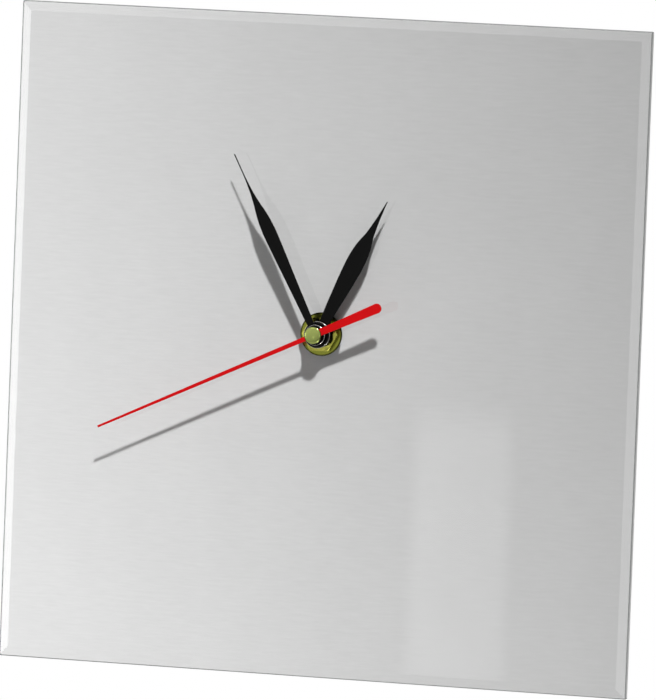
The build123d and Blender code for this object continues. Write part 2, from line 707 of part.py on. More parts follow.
def negative_contact():
    """The contact whose bowed leaf pushes the battery against the other one."""
    bend_top = bay_top - CONTACT_BAY_MARGIN
    bend_foot = bay_bottom + CONTACT_BAY_MARGIN
    crest = battery_left - BATTERY_END_GAP
    bow = make_face(Polyline(
        (-contact_outer, bend_top), (-contact_inner, bend_top), (crest, bay_middle),
        (-contact_inner, bend_foot), (-contact_outer, bend_foot),
        (crest - CONTACT_THICKNESS, bay_middle), close=True))
    leaf = slab(bow, contact_back, contact_front)
    strip = block(-contact_outer, -contact_inner, bend_top,
                  board_middle + CONTACT_FINGER_WIDTH / 2, contact_back, contact_front)
    return strip + leaf + contact_finger(-1)


def battery():
    """An AA cell lying across the bay."""
    lying = Plane(origin=(battery_left, -battery_depth, bay_middle), x_dir=(0, 0, 1),
                  z_dir=(1, 0, 0))
    can = extrude(lying * Circle(BATTERY_DIAMETER / 2), BATTERY_BODY_LENGTH)
    shoulder = can.edges().filter_by(GeomType.CIRCLE).sort_by(Axis.X)[-1]
    can = chamfer(shoulder, BATTERY_EDGE_CHAMFER)
    nub = extrude(lying * Circle(BATTERY_NUB_DIAMETER / 2),
                  BATTERY_BODY_LENGTH + BATTERY_NUB_LENGTH)
    return can + nub


# Train, from the rotor to the hour wheel

def arbor(centre, front):
    """A moulded arbor with a pivot at each end."""
    back_shoulder = plate_front + LAYER_GAP / 2
    return (disc(arbor_radius, back_shoulder, front, centre)
            + peg(pivot_radius, plate_back, front + PIVOT_LENGTH, centre))


rotor_pinion_phase = 0.0
intermediate_wheel_phase = meshed_phase(
    ROTOR_PINION_TEETH, rotor_pinion_phase, INTERMEDIATE_WHEEL_TEETH, rotor_axis, intermediate_axis)
intermediate_pinion_phase = 0.0
seconds_wheel_phase = meshed_phase(
    INTERMEDIATE_PINION_TEETH, intermediate_pinion_phase, SECONDS_WHEEL_TEETH,
    intermediate_axis, hand_axis)
seconds_pinion_phase = 0.0
third_wheel_phase = meshed_phase(
    SECONDS_PINION_TEETH, seconds_pinion_phase, THIRD_WHEEL_TEETH, hand_axis, third_axis)
third_pinion_phase = 0.0
centre_wheel_phase = meshed_phase(
    THIRD_PINION_TEETH, third_pinion_phase, CENTRE_WHEEL_TEETH, third_axis, hand_axis)
motion_wheel_phase = 0.0
cannon_pinion_phase = meshed_phase(
    MOTION_WHEEL_TEETH, motion_wheel_phase, CANNON_PINION_TEETH, motion_axis, hand_axis)
setting_pinion_phase = meshed_phase(
    MOTION_WHEEL_TEETH, motion_wheel_phase, SETTING_PINION_TEETH, motion_axis, setting_axis)
motion_pinion_phase = 0.0
hour_wheel_phase = meshed_phase(
    MOTION_PINION_TEETH, motion_pinion_phase, HOUR_WHEEL_TEETH, motion_axis, hand_axis)


def rotor_pinion():
    """The rotor's arbor and pinion, with the hub that carries the magnet."""
    pinion = slab(toothed(ROTOR_PINION_TEETH, ROTOR_MODULE, rotor_pinion_phase, rotor_axis),
                  rotor_pinion_back, rotor_pinion_front)
    hub = peg(MAGNET_BORE_DIAMETER / 2, magnet_back, rotor_pinion_back, rotor_axis)
    return pinion + hub + arbor(rotor_axis, rotor_pinion_front)


def rotor_magnet():
    """The ring magnet of the rotor."""
    outline = Pos(*rotor_axis) * Circle(magnet_radius)
    outline -= peg_hole(MAGNET_BORE_DIAMETER / 2, rotor_axis)
    return slab(outline, magnet_back, magnet_front)


def intermediate_wheel():
    """The wheel between the rotor and the seconds wheel."""
    wheel = slab(toothed(INTERMEDIATE_WHEEL_TEETH, ROTOR_MODULE, intermediate_wheel_phase,
                         intermediate_axis), intermediate_wheel_back, intermediate_wheel_front)
    pinion = slab(toothed(INTERMEDIATE_PINION_TEETH, seconds_module, intermediate_pinion_phase,
                          intermediate_axis), intermediate_wheel_front, intermediate_pinion_front)
    return wheel + pinion + arbor(intermediate_axis, intermediate_pinion_front)


def seconds_wheel():
    """The seconds wheel and its pinion, pressed on the seconds arbor."""
    wheel = slab(toothed(SECONDS_WHEEL_TEETH, seconds_module, seconds_wheel_phase),
                 seconds_wheel_back, seconds_wheel_front)
    pinion = slab(toothed(SECONDS_PINION_TEETH, THIRD_MODULE, seconds_pinion_phase),
                  seconds_wheel_front, seconds_pinion_front)
    bore = disc(seconds_arbor_radius, seconds_wheel_back - OVERRUN, seconds_pinion_front + OVERRUN)
    return wheel + pinion - bore


def seconds_arbor():
    """The steel arbor that runs through both pipes to the second hand."""
    return disc(seconds_arbor_radius, plate_back, second_hand_front - HAND_THICKNESS)


def third_wheel():
    """The third wheel and its pinion."""
    wheel = slab(toothed(THIRD_WHEEL_TEETH, THIRD_MODULE, third_wheel_phase, third_axis),
                 third_wheel_back, third_wheel_front)
    pinion = slab(toothed(THIRD_PINION_TEETH, centre_module, third_pinion_phase, third_axis),
                  third_wheel_front, third_pinion_front)
    return wheel + pinion + arbor(third_axis, third_pinion_front)


def centre_wheel():
    """The centre wheel, which grips the cannon's journal as a slipping clutch."""
    wheel = slab(toothed(CENTRE_WHEEL_TEETH, centre_module, centre_wheel_phase),
                 centre_wheel_back, centre_wheel_front)
    return wheel - disc(journal_radius + RUNNING_GAP, centre_wheel_back - OVERRUN,
                        centre_wheel_front + OVERRUN)


def cannon_pinion():
    """The cannon: the minute pipe with its pinion and the clutch journal."""
    pinion = slab(toothed(CANNON_PINION_TEETH, MOTION_MODULE, cannon_pinion_phase),
                  cannon_back, cannon_front)
    pipe = disc(minute_pipe_radius, cannon_front, minute_collet_front - PIPE_SHORT_OF_COLLET)
    journal = disc(journal_radius, cannon_journal_back, cannon_back)
    bore = disc(seconds_arbor_radius + RUNNING_GAP, 0, minute_collet_front)
    return pinion + pipe + journal - bore


def motion_wheel():
    """The motion wheel and its pinion, turning on a post of the case."""
    wheel = slab(toothed(MOTION_WHEEL_TEETH, MOTION_MODULE, motion_wheel_phase, motion_axis),
                 motion_wheel_back, motion_wheel_front)
    pinion = slab(toothed(MOTION_PINION_TEETH, hour_module, motion_pinion_phase, motion_axis),
                  motion_wheel_front, hour_wheel_front)
    return wheel + pinion - disc(MOTION_POST_DIAMETER / 2 + RUNNING_GAP,
                                 motion_wheel_back - OVERRUN, hour_wheel_front + OVERRUN, motion_axis)


def hour_wheel():
    """The hour wheel and the hour pipe."""
    wheel = slab(toothed(HOUR_WHEEL_TEETH, hour_module, hour_wheel_phase),
                 hour_wheel_back, hour_wheel_front)
    pipe = disc(hour_pipe_radius, hour_wheel_front, hour_collet_front - PIPE_SHORT_OF_COLLET)
    bore = disc(minute_pipe_radius + RUNNING_GAP, 0, hour_collet_front)
    return wheel + pipe - bore


def setting_knob():
    """The knob in the well, its shaft and the pinion that turns the motion wheel."""
    knob_radius = KNOB_DIAMETER / 2
    step = 360 / KNOB_FLUTES
    rim = [polar(radius, step * (number + share), setting_axis)
           for number in range(KNOB_FLUTES)
           for radius, share in ((knob_radius, 0.0), (knob_radius, 0.5),
                                 (knob_radius - KNOB_FLUTE_DEPTH, 0.75))]
    knob_front = KNOB_SINK + KNOB_THICKNESS
    knob = slab(make_face(Polyline(*rim, close=True)), KNOB_SINK, knob_front)
    shaft = disc(shaft_radius, knob_front, cannon_back, setting_axis)
    pinion = slab(toothed(SETTING_PINION_TEETH, MOTION_MODULE, setting_pinion_phase, setting_axis),
                  cannon_back, cannon_front)
    pivot = peg(pivot_radius, cannon_front, cannon_front + PIVOT_LENGTH, setting_axis)
    return knob + shaft + pinion + pivot


# Stepping motor

def stator():
    """The stator plate: a ring round the magnet and two arms to the coil."""
    column = Pos(*rotor_axis) * Rectangle(STATOR_BAR_WIDTH, 2 * arm_offset + STATOR_ARM_WIDTH)
    outline = column + Pos(*rotor_axis) * Circle(stator_ring_radius)
    left = rotor_axis[0] - STATOR_BAR_WIDTH / 2
    right = coil_x + CORE_WIDTH / 2
    for _, height in coil_pillars:
        outline += Pos((left + right) / 2, height) * Rectangle(right - left, STATOR_ARM_WIDTH)
    outline -= Pos(*rotor_axis) * Circle(magnet_radius + STATOR_AIR_GAP)
    for centre in coil_pillars:
        outline -= peg_hole(pin_radius, centre)
    return slab(outline, stator_back, stator_front)


def coil_core():
    """The soft-iron strip through the coil, laid on the ends of the stator."""
    length = 2 * arm_offset + STATOR_ARM_WIDTH
    outline = Pos(coil_x, rotor_axis[1]) * Rectangle(CORE_WIDTH, length)
    for centre in coil_pillars:
        outline -= peg_hole(pin_radius, centre)
    return slab(outline, core_back, stator_back)


def upright(width, depth, bottom, top):
    """A block round the coil's axis, between two heights."""
    middle = (bottom + top) / 2
    return Pos(coil_x, -core_depth, middle) * Box(width, depth, top - bottom)


def coil_bobbin():
    """The moulded bobbin on the core."""
    half = COIL_LENGTH / 2
    bottom, top = rotor_axis[1] - half, rotor_axis[1] + half
    barrel = upright(CORE_WIDTH + 2 * BOBBIN_WALL, STATOR_THICKNESS + 2 * BOBBIN_WALL, bottom, top)
    flange_width = COIL_WIDTH + 2 * BOBBIN_FLANGE_OVERHANG
    flange_depth = COIL_DEPTH + 2 * BOBBIN_FLANGE_OVERHANG
    barrel += upright(flange_width, flange_depth, bottom, bottom + BOBBIN_FLANGE_THICKNESS)
    barrel += upright(flange_width, flange_depth, top - BOBBIN_FLANGE_THICKNESS, top)
    return barrel - upright(CORE_WIDTH, STATOR_THICKNESS, bottom - OVERRUN, top + OVERRUN)


def coil_winding():
    """The winding of fine copper wire, as one body between the flanges."""
    half = COIL_LENGTH / 2 - BOBBIN_FLANGE_THICKNESS
    bottom, top = rotor_axis[1] - half, rotor_axis[1] + half
    body = upright(COIL_WIDTH, COIL_DEPTH, bottom, top)
    body = chamfer(body.edges().filter_by(Axis.Z), COIL_DEPTH / 4)
    return body - upright(CORE_WIDTH + 2 * BOBBIN_WALL, STATOR_THICKNESS + 2 * BOBBIN_WALL,
                          bottom - OVERRUN, top + OVERRUN)


# Circuit board

def circuit_board():
    """The board on its ledges."""
    return slab(Pos(0, board_middle) * Rectangle(2 * board_half_length, BOARD_WIDTH),
                board_back, board_front)


def driver_chip():
    """The blob of resin over the driver chip."""
    centre = (CHIP_OFFSET, board_middle)
    blob = disc(CHIP_DIAMETER / 2, board_back - CHIP_HEIGHT, board_back, centre)
    rim = blob.faces().sort_by(Axis.Y)[-1].edges()
    return chamfer(rim, CHIP_HEIGHT * CHIP_SLOPE_SHARE)


def crystal_can():
    """The quartz crystal in its metal can, lying on the board."""
    lying = Plane(origin=(CRYSTAL_OFFSET, -(board_back - CRYSTAL_DIAMETER / 2), board_middle),
                  x_dir=(0, 0, 1), z_dir=(1, 0, 0))
    return extrude(lying * Circle(CRYSTAL_DIAMETER / 2), CRYSTAL_LENGTH / 2, both=True)


# Hands

def pointing(angle):
    """The turn that brings a hand drawn along +x to an angle clockwise from twelve."""
    return Rot(0, 0, 90 - angle)


def leaf_blade(length, width, widest_at, root_width, tip_width, needle_length):
    """A leaf-shaped blade along +x that ends in a fine needle."""
    needle_start = length - needle_length
    root_pull = widest_at / 3
    leaf_pull = (needle_start - widest_at) / 2
    upper = [
        Bezier((0, root_width / 2), (root_pull, root_width / 2 + (width - root_width) / 4),
               (widest_at - root_pull / 2, width / 2), (widest_at, width / 2)),
        Bezier((widest_at, width / 2), (widest_at + leaf_pull, width / 2),
               (needle_start - leaf_pull, tip_width / 2), (needle_start, tip_width / 2)),
        Line((needle_start, tip_width / 2), (length, tip_width / 4))]
    lower = [mirror(line, Plane.XZ) for line in upper]
    ends = [Line((0, -root_width / 2), (0, root_width / 2)),
            Line((length, -tip_width / 4), (length, tip_width / 4))]
    return make_face(upper + lower + ends)


def collet(bore, barrel_radius, disc_radius, back, step, front):
    """A turned collet: a barrel through the blade's eye and a disc before it."""
    return turned([(bore, back), (barrel_radius, back), (barrel_radius, step),
                   (disc_radius, step), (disc_radius, front - COLLET_EDGE_CHAMFER),
                   (disc_radius - COLLET_EDGE_CHAMFER, front), (bore, front)])


def hour_hand():
    """The hour blade round its collet."""
    blade = leaf_blade(HOUR_HAND_LENGTH, HOUR_HAND_WIDTH, HOUR_HAND_WIDEST_AT,
                       HOUR_HAND_ROOT_WIDTH, HOUR_HAND_TIP_WIDTH, HOUR_HAND_NEEDLE_LENGTH)
    eye = (HOUR_COLLET_DIAMETER + HOUR_COLLET_BARREL_DIAMETER) / 4
    outline = blade + Circle(eye) - Circle(HOUR_COLLET_BARREL_DIAMETER / 2)
    return slab(pointing(HOUR_HAND_ANGLE) * outline,
                hour_hand_front - HAND_THICKNESS, hour_hand_front)


def hour_collet():
    """The hour hand's collet on the hour pipe."""
    return collet(hour_pipe_radius, HOUR_COLLET_BARREL_DIAMETER / 2, HOUR_COLLET_DIAMETER / 2,
                  hour_collet_back, hour_hand_front, hour_collet_front)


def minute_hand():
    """The minute blade round its collet."""
    blade = leaf_blade(MINUTE_HAND_LENGTH, MINUTE_HAND_WIDTH, MINUTE_HAND_WIDEST_AT,
                       MINUTE_HAND_ROOT_WIDTH, MINUTE_HAND_TIP_WIDTH, MINUTE_HAND_NEEDLE_LENGTH)
    eye = (MINUTE_COLLET_DIAMETER + MINUTE_COLLET_BARREL_DIAMETER) / 4
    outline = blade + Circle(eye) - Circle(MINUTE_COLLET_BARREL_DIAMETER / 2)
    return slab(pointing(MINUTE_HAND_ANGLE) * outline,
                minute_hand_front - HAND_THICKNESS, minute_hand_front)


def minute_collet():
    """The minute hand's collet on the minute pipe."""
    return collet(minute_pipe_radius, MINUTE_COLLET_BARREL_DIAMETER / 2,
                  MINUTE_COLLET_DIAMETER / 2, minute_collet_back, minute_hand_front,
                  minute_collet_front)


def second_hand():
    """The second hand: a needle, an eye and a club-shaped tail."""
    tail_centre = SECOND_TAIL_LENGTH - SECOND_TAIL_WIDTH / 2
    outline = make_face(Polyline(
        (0, SECOND_HAND_ROOT_WIDTH / 2), (SECOND_HAND_LENGTH, SECOND_HAND_TIP_WIDTH / 2),
        (SECOND_HAND_LENGTH, -SECOND_HAND_TIP_WIDTH / 2), (0, -SECOND_HAND_ROOT_WIDTH / 2),
        close=True))
    outline += make_face(Polyline(
        (0, SECOND_TAIL_ROOT_WIDTH / 2), (-tail_centre, SECOND_TAIL_WIDTH / 2),
        (-tail_centre, -SECOND_TAIL_WIDTH / 2), (0, -SECOND_TAIL_ROOT_WIDTH / 2), close=True))
    outline += Pos(-tail_centre, 0) * Circle(SECOND_TAIL_WIDTH / 2)
    outline += Circle(SECOND_HAND_EYE_DIAMETER / 2)
    outline -= Circle(SECOND_TUBE_DIAMETER / 2)
    return slab(pointing(SECOND_HAND_ANGLE) * outline,
                second_hand_front - HAND_THICKNESS, second_hand_front)


def second_hand_tube():
    """The tube that is riveted in the second hand and pushed on the arbor."""
    arbor_end = second_hand_front - HAND_THICKNESS
    tube = disc(SECOND_TUBE_DIAMETER / 2, second_tube_back, second_hand_front)
    return tube - disc(seconds_arbor_radius, second_tube_back - OVERRUN, arbor_end)


def hand_cap():
    """The round brass cap over the end of the tube, its edge rounded in a quarter turn."""
    cap_radius = CAP_DIAMETER / 2
    rim_depth = cap_front - CAP_HEIGHT * CAP_CROWN_SHARE
    crown = cap_front - rim_depth
    steps = [radians(90 * step / CAP_CROWN_STEPS) for step in range(CAP_CROWN_STEPS + 1)]
    rounded = [(cap_radius - crown * (1 - cos(turn)), rim_depth + crown * sin(turn))
               for turn in steps]
    return turned([(0, second_hand_front), (cap_radius, second_hand_front)]
                  + rounded + [(0, cap_front)])


pieces = {
    "glass_panel": glass_panel,
    "printed_backing": printed_backing,
    "rubber_gasket": rubber_gasket,
    "brass_washer": brass_washer,
    "hex_nut": hex_nut,
    "threaded_bushing": threaded_bushing,
    "hanger_bracket": hanger_bracket,
    "movement_case": movement_case,
    "back_cover": back_cover,
    "train_plate": train_plate,
    "positive_contact": positive_contact,
    "negative_contact": negative_contact,
    "battery": battery,
    "rotor_magnet": rotor_magnet,
    "rotor_pinion": rotor_pinion,
    "intermediate_wheel": intermediate_wheel,
    "seconds_wheel": seconds_wheel,
    "seconds_arbor": seconds_arbor,
    "third_wheel": third_wheel,
    "centre_wheel": centre_wheel,
    "cannon_pinion": cannon_pinion,
    "motion_wheel": motion_wheel,
    "hour_wheel": hour_wheel,
    "setting_knob": setting_knob,
    "stator": stator,
    "coil_core": coil_core,
    "coil_bobbin": coil_bobbin,
    "coil_winding": coil_winding,
    "circuit_board": circuit_board,
    "driver_chip": driver_chip,
    "crystal_can": crystal_can,
    "hour_hand": hour_hand,
    "hour_collet": hour_collet,
    "minute_hand": minute_hand,
    "minute_collet": minute_collet,
    "second_hand": second_hand,
    "second_hand_tube": second_hand_tube,
    "hand_cap": hand_cap,
}

for name, make in pieces.items():
    save(name, make())

for label, centre in (("rotor", rotor_axis), ("intermediate wheel", intermediate_axis),
                      ("third wheel", third_axis), ("motion wheel", motion_axis),
                      ("setting knob", setting_axis)):
    print(f"{label} axis at x {centre[0]:.4f}, z {centre[1]:.4f}")
print(f"hanger hole at z {hanger_hole_centre[1]:.4f}")
print(f"cap front at depth {cap_front:.3f}, panel front at depth {panel_front:.3f}")
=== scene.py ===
"""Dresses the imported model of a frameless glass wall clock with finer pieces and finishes."""
import logging
from dataclasses import dataclass
from enum import Enum
from functools import lru_cache
from math import cos, pi, radians, sin
from typing import Iterable, Protocol, Sequence

import bmesh
import bpy
from mathutils import Matrix, Quaternion, Vector


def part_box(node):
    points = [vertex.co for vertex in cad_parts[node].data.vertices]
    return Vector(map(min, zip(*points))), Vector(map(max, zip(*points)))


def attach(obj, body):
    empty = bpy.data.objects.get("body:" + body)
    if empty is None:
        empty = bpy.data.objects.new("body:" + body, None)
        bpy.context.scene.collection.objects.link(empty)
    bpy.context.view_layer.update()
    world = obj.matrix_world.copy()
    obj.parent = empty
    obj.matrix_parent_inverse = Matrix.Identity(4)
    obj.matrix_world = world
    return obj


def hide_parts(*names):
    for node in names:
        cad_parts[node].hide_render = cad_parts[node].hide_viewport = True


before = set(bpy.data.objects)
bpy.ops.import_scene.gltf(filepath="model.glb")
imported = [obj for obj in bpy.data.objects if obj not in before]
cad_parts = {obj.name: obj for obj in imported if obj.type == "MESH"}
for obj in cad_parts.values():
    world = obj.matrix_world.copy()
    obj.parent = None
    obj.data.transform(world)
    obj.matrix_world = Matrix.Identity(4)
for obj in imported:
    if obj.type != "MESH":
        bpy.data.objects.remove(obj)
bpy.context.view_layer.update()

LOG = logging.getLogger("glass_clock")

MM = 0.001
QUARTER_TURN = pi / 2
FULL_TURN = 2 * pi
MERGE_GAP = 1e-6
FINE_GAP = MERGE_GAP / 10
FLAT_ANGLE = radians(0.6)
SHARP_ANGLE = radians(30)
SMOOTH_BELOW = 40.0
HEXAGON = 6
TRIANGLE = 3
ROUND_STEPS = 96

# The curve from a screen's levels to linear ones.
SCREEN_TOP = 255
SCREEN_KNEE = 0.04045
SCREEN_SLOPE = 12.92
SCREEN_OFFSET = 0.055
SCREEN_POWER = 2.4

# A Mix node's sockets for colours share their names with its others, so they go by their place.
MIX_FIRST, MIX_SECOND, MIX_RESULT = 6, 7, 2

# The watts for each square metre of an area lamp that is to look as bright as plain white.
LAMP_WATTS = 4

Point = tuple[float, float]
Triple = tuple[float, float, float]
Colour = Triple
Profile = tuple[Point, ...]
Shape = bmesh.types.BMesh
Part = bmesh.types.BMVert | bmesh.types.BMEdge | bmesh.types.BMFace
Material = bpy.types.Material
Socket = bpy.types.NodeSocket


def shade(red: int, green: int, blue: int) -> Colour:
    """Turn a colour's levels from 0 to 255 on a screen into the linear ones of a shader."""
    return tuple(linear(part) for part in (red, green, blue))


def linear(level: float) -> float:
    """Turn one screen level from 0 to 255 into a linear one.

    Args:
        level: The screen's level.

    Returns:
        The linear level, from 0 to 1.
    """
    share = level / SCREEN_TOP
    if share <= SCREEN_KNEE:
        return share / SCREEN_SLOPE
    return ((share + SCREEN_OFFSET) / (1 + SCREEN_OFFSET)) ** SCREEN_POWER


def darker(colour: Colour, share: float) -> list[float]:
    """Bring a colour down to a share of itself."""
    return [part * share for part in colour]


# Finishes


class Grain(Enum):
    """How a metal surface was worked."""

    TURNED = "turned"
    BRUSHED = "brushed"
    ROLLED = "rolled"


class Finish(Protocol):
    """Anything that can make a material."""

    name: str

    def build(self) -> Material:
        """Make the material."""


@lru_cache(maxsize=None)
def material_of(finish: Finish) -> Material:
    """Make a finish's material once and hand it out again after that."""
    return finish.build()


class Recipe:
    """The node tree of a material, a lamp or the surround, with the steps that they share."""

    def __init__(self, name: str, owner: bpy.types.Light | bpy.types.World | None = None,
                 output: str = "ShaderNodeOutputMaterial") -> None:
        """Start an empty tree.

        Args:
            name: The name of the material that is made where there is no owner.
            owner: The lamp or surround that the tree is for.
            output: The kind of the tree's last node.
        """
        self.owner = owner or bpy.data.materials.new(name)
        self.owner.use_nodes = True
        self.tree = self.owner.node_tree
        self.tree.nodes.clear()
        self.output = self.tree.nodes.new(output)
        self.coordinates = self.tree.nodes.new("ShaderNodeTexCoord")

    def node(self, kind: str, **settings: object) -> bpy.types.Node:
        """Add a node and set its properties.

        Args:
            kind: The node's type.
            **settings: Its properties with their values.

        Returns:
            The node.
        """
        node = self.tree.nodes.new(kind)
        for name, value in settings.items():
            setattr(node, name, value)
        return node

    def feed(self, target: Socket, value: Socket | float | Sequence[float]) -> None:
        """Link a socket, or set a plain value on it.

        Args:
            target: The socket that is fed.
            value: Another socket, a number, or the parts of a colour or a vector.
        """
        if isinstance(value, bpy.types.NodeSocket):
            self.tree.links.new(value, target)
        elif isinstance(value, (int, float)):
            target.default_value = value
        else:
            size = len(target.default_value)
            target.default_value = (*value, 1.0)[:size] if len(value) < size else value

    def place(self, stretch: Sequence[float] = (1, 1, 1)) -> Socket:
        """Stretch the object's own coordinates.

        Args:
            stretch: How often a pattern repeats along each axis.

        Returns:
            The coordinates as a vector.
        """
        mapping = self.node("ShaderNodeMapping")
        self.feed(mapping.inputs["Vector"], self.coordinates.outputs["Object"])
        self.feed(mapping.inputs["Scale"], stretch)
        return mapping.outputs["Vector"]

    def axes(self) -> tuple[Socket, Socket, Socket]:
        """Split the object's coordinates.

        Returns:
            The x, the y and the z.
        """
        split = self.node("ShaderNodeSeparateXYZ")
        self.feed(split.inputs[0], self.coordinates.outputs["Object"])
        return split.outputs[0], split.outputs[1], split.outputs[2]

    def noise(self, scale: float, stretch: Sequence[float] = (1, 1, 1),
              detail: float = 3.0) -> Socket:
        """A soft random pattern.

        Args:
            scale: How often it repeats in a metre.
            stretch: How much more often than that it repeats along each axis.
            detail: How many times a finer pattern is laid over it.

        Returns:
            The pattern, between 0 and 1.
        """
        texture = self.node("ShaderNodeTexNoise")
        self.feed(texture.inputs["Vector"], self.place(stretch))
        self.feed(texture.inputs["Scale"], scale)
        self.feed(texture.inputs["Detail"], detail)
        return texture.outputs["Fac"]

    def off_axis(self) -> Socket:
        """How far a point is from the hand axis.

        Returns:
            The distance in metres.
        """
        length = self.node("ShaderNodeVectorMath", operation="LENGTH")
        self.feed(length.inputs[0], self.place((1, 0, 1)))
        return length.outputs["Value"]

    def rings(self, scale: float) -> Socket:
        """Fine random rings round the hand axis, as a lathe leaves them.

        Args:
            scale: How often they repeat in a metre.

        Returns:
            The pattern, between 0 and 1.
        """
        texture = self.node("ShaderNodeTexNoise", noise_dimensions="1D")
        self.feed(texture.inputs["W"], self.off_axis())
        self.feed(texture.inputs["Scale"], scale)
        return texture.outputs["Fac"]

    def math(self, operation: str, *values: Socket | float) -> Socket:
        """One step of arithmetic.

        Args:
            operation: What is done, in the Math node's own word for it.
            *values: What it is done to.

        Returns:
            The result.
        """
        node = self.node("ShaderNodeMath", operation=operation)
        for target, value in zip(node.inputs, values):
            self.feed(target, value)
        return node.outputs[0]

    def ranged(self, value: Socket, before: Point, after: Point, way: str = "LINEAR") -> Socket:
        """Bring a value from one range into another.

        Args:
            value: The value.
            before: The two ends of its range.
            after: What those ends become.
            way: The way between them, in the Map Range node's own word for it.

        Returns:
            The value in its new range, never past its ends.
        """
        node = self.node("ShaderNodeMapRange", interpolation_type=way)
        for name, level in zip(("Value", "From Min", "From Max", "To Min", "To Max"),
                               (value, *before, *after)):
            self.feed(node.inputs[name], level)
        return node.outputs[0]

    def within(self, value: Socket, middle: float, reach: float) -> Socket:
        """1 where a value lies within a reach of its middle, and 0 elsewhere."""
        return self.math("COMPARE", value, middle, reach)

    def soft_within(self, value: Socket, middle: float, reach: float, edge: float) -> Socket:
        """1 near a middle, falling softly to 0 past a reach; the edge is half of the fall."""
        away = self.math("ABSOLUTE", self.math("SUBTRACT", value, middle))
        return self.ranged(away, (reach - edge, reach + edge), (1.0, 0.0), "SMOOTHSTEP")

    def ramp(self, factor: Socket, stops: Sequence[tuple[float, Colour]]) -> Socket:
        """Colours along a factor.

        Args:
            factor: Where to look, from 0 to 1.
            stops: The places and their colours, in order.

        Returns:
            The colour.
        """
        node = self.node("ShaderNodeValToRGB")
        self.feed(node.inputs[0], factor)
        elements = node.color_ramp.elements
        while len(elements) < len(stops):
            elements.new(0.5)
        for element, (place, colour) in zip(elements, stops):
            element.position = place
            element.color = (*colour, 1.0)
        return node.outputs[0]

    def blend(self, factor: Socket, first: Socket | Sequence[float],
              second: Socket | Sequence[float]) -> Socket:
        """Mix two colours.

        Args:
            factor: The second colour's share, from 0 to 1.
            first: The first colour.
            second: The second colour.

        Returns:
            The mixed colour.
        """
        node = self.node("ShaderNodeMix", data_type="RGBA")
        self.feed(node.inputs["Factor"], factor)
        self.feed(node.inputs[MIX_FIRST], first)
        self.feed(node.inputs[MIX_SECOND], second)
        return node.outputs[MIX_RESULT]

    def clouded(self, pattern: Socket, colour: Colour, darkest: float) -> Socket:
        """A colour that a pattern brings down here and there, to a share of itself at most."""
        return self.blend(pattern, colour, darker(colour, darkest))

    def spread(self, factor: Socket, low: float, high: float) -> Socket:
        """Bring a factor from 0 to 1 between two levels."""
        return self.math("MULTIPLY_ADD", factor, high - low, low)

    def worn(self, pattern: Socket, level: float, shares: Point) -> Socket:
        """Let a level vary with a pattern, between two shares of itself."""
        return self.spread(pattern, level * shares[0], level * shares[1])

    def bump(self, height: Socket, depth: float) -> Socket:
        """Turn a height pattern into a normal.

        Args:
            height: The pattern, between 0 and 1.
            depth: How deep it goes, in millimetres.

        Returns:
            The normal.
        """
        node = self.node("ShaderNodeBump")
        self.feed(node.inputs["Strength"], 1.0)
        self.feed(node.inputs["Distance"], depth * MM)
        self.feed(node.inputs["Height"], height)
        return node.outputs[0]

    def surface(self, **inputs: Socket | float | Sequence[float]) -> bpy.types.Node:
        """Add the main shader.

        Args:
            **inputs: What its inputs are fed; an underscore in a name stands for a space.

        Returns:
            The shader.
        """
        shader = self.node("ShaderNodeBsdfPrincipled")
        for name, value in inputs.items():
            self.feed(shader.inputs[name.replace("_", " ")], value)
        return shader

    def lit_through(self, shader: bpy.types.Node, share: float) -> bpy.types.Node:
        """Let the lamps' light pass a surface.

        Args:
            shader: How the surface looks.
            share: What share of the light passes.

        Returns:
            The shader that does both.
        """
        path = self.node("ShaderNodeLightPath")
        lamps = self.math("MAXIMUM", path.outputs["Is Shadow Ray"],
                          path.outputs["Is Diffuse Ray"])
        clear = self.node("ShaderNodeBsdfTransparent")
        self.feed(clear.inputs["Color"], (share,) * 3)
        either = self.node("ShaderNodeMixShader")
        self.feed(either.inputs[0], lamps)
        self.feed(either.inputs[1], shader.outputs[0])
        self.feed(either.inputs[2], clear.outputs[0])
        return either

    def done(self, shader: bpy.types.Node) -> bpy.types.ID:
        """Put the shader on the output and hand over what the tree belongs to."""
        self.feed(self.output.inputs["Surface"], shader.outputs[0])
        return self.owner


@dataclass(frozen=True)
class ClearGlass:
    """Polished float glass, which lets lamps through to what lies behind it."""

    name: str
    tint: Colour
    refraction: float = 1.5
    light_passed: float = 0.97
    wave_size: float = 12.0
    wave_detail: float = 1.0
    wave_depth: float = 0.02

    def build(self) -> Material:
        """Make the material.

        Returns:
            The material.
        """
        recipe = Recipe(self.name)
        waves = recipe.noise(self.wave_size, detail=self.wave_detail)
        glass = recipe.surface(Base_Color=self.tint, Roughness=0.0, IOR=self.refraction,
                               Transmission_Weight=1.0,
                               Normal=recipe.bump(waves, self.wave_depth))
        return recipe.done(recipe.lit_through(glass, self.light_passed))


@dataclass(frozen=True)
class GroundGlass:
    """The edge of the glass as the grinding wheel leaves it: fine, grey and matt."""

    name: str
    colour: Colour
    roughness: float = 0.6
    darkest: float = 0.8
    light_passed: float = 0.88
    scratch_size: float = 2500.0
    scratch_stretch: Triple = (1, 4, 1)
    scratch_depth: float = 0.01

    def build(self) -> Material:
        """Make the material.

        Returns:
            The material.
        """
        recipe = Recipe(self.name)
        scratches = recipe.noise(self.scratch_size, self.scratch_stretch)
        matt = recipe.surface(Base_Color=recipe.clouded(scratches, self.colour, self.darkest),
                              Roughness=self.roughness,
                              Normal=recipe.bump(scratches, self.scratch_depth))
        return recipe.done(recipe.lit_through(matt, self.light_passed))


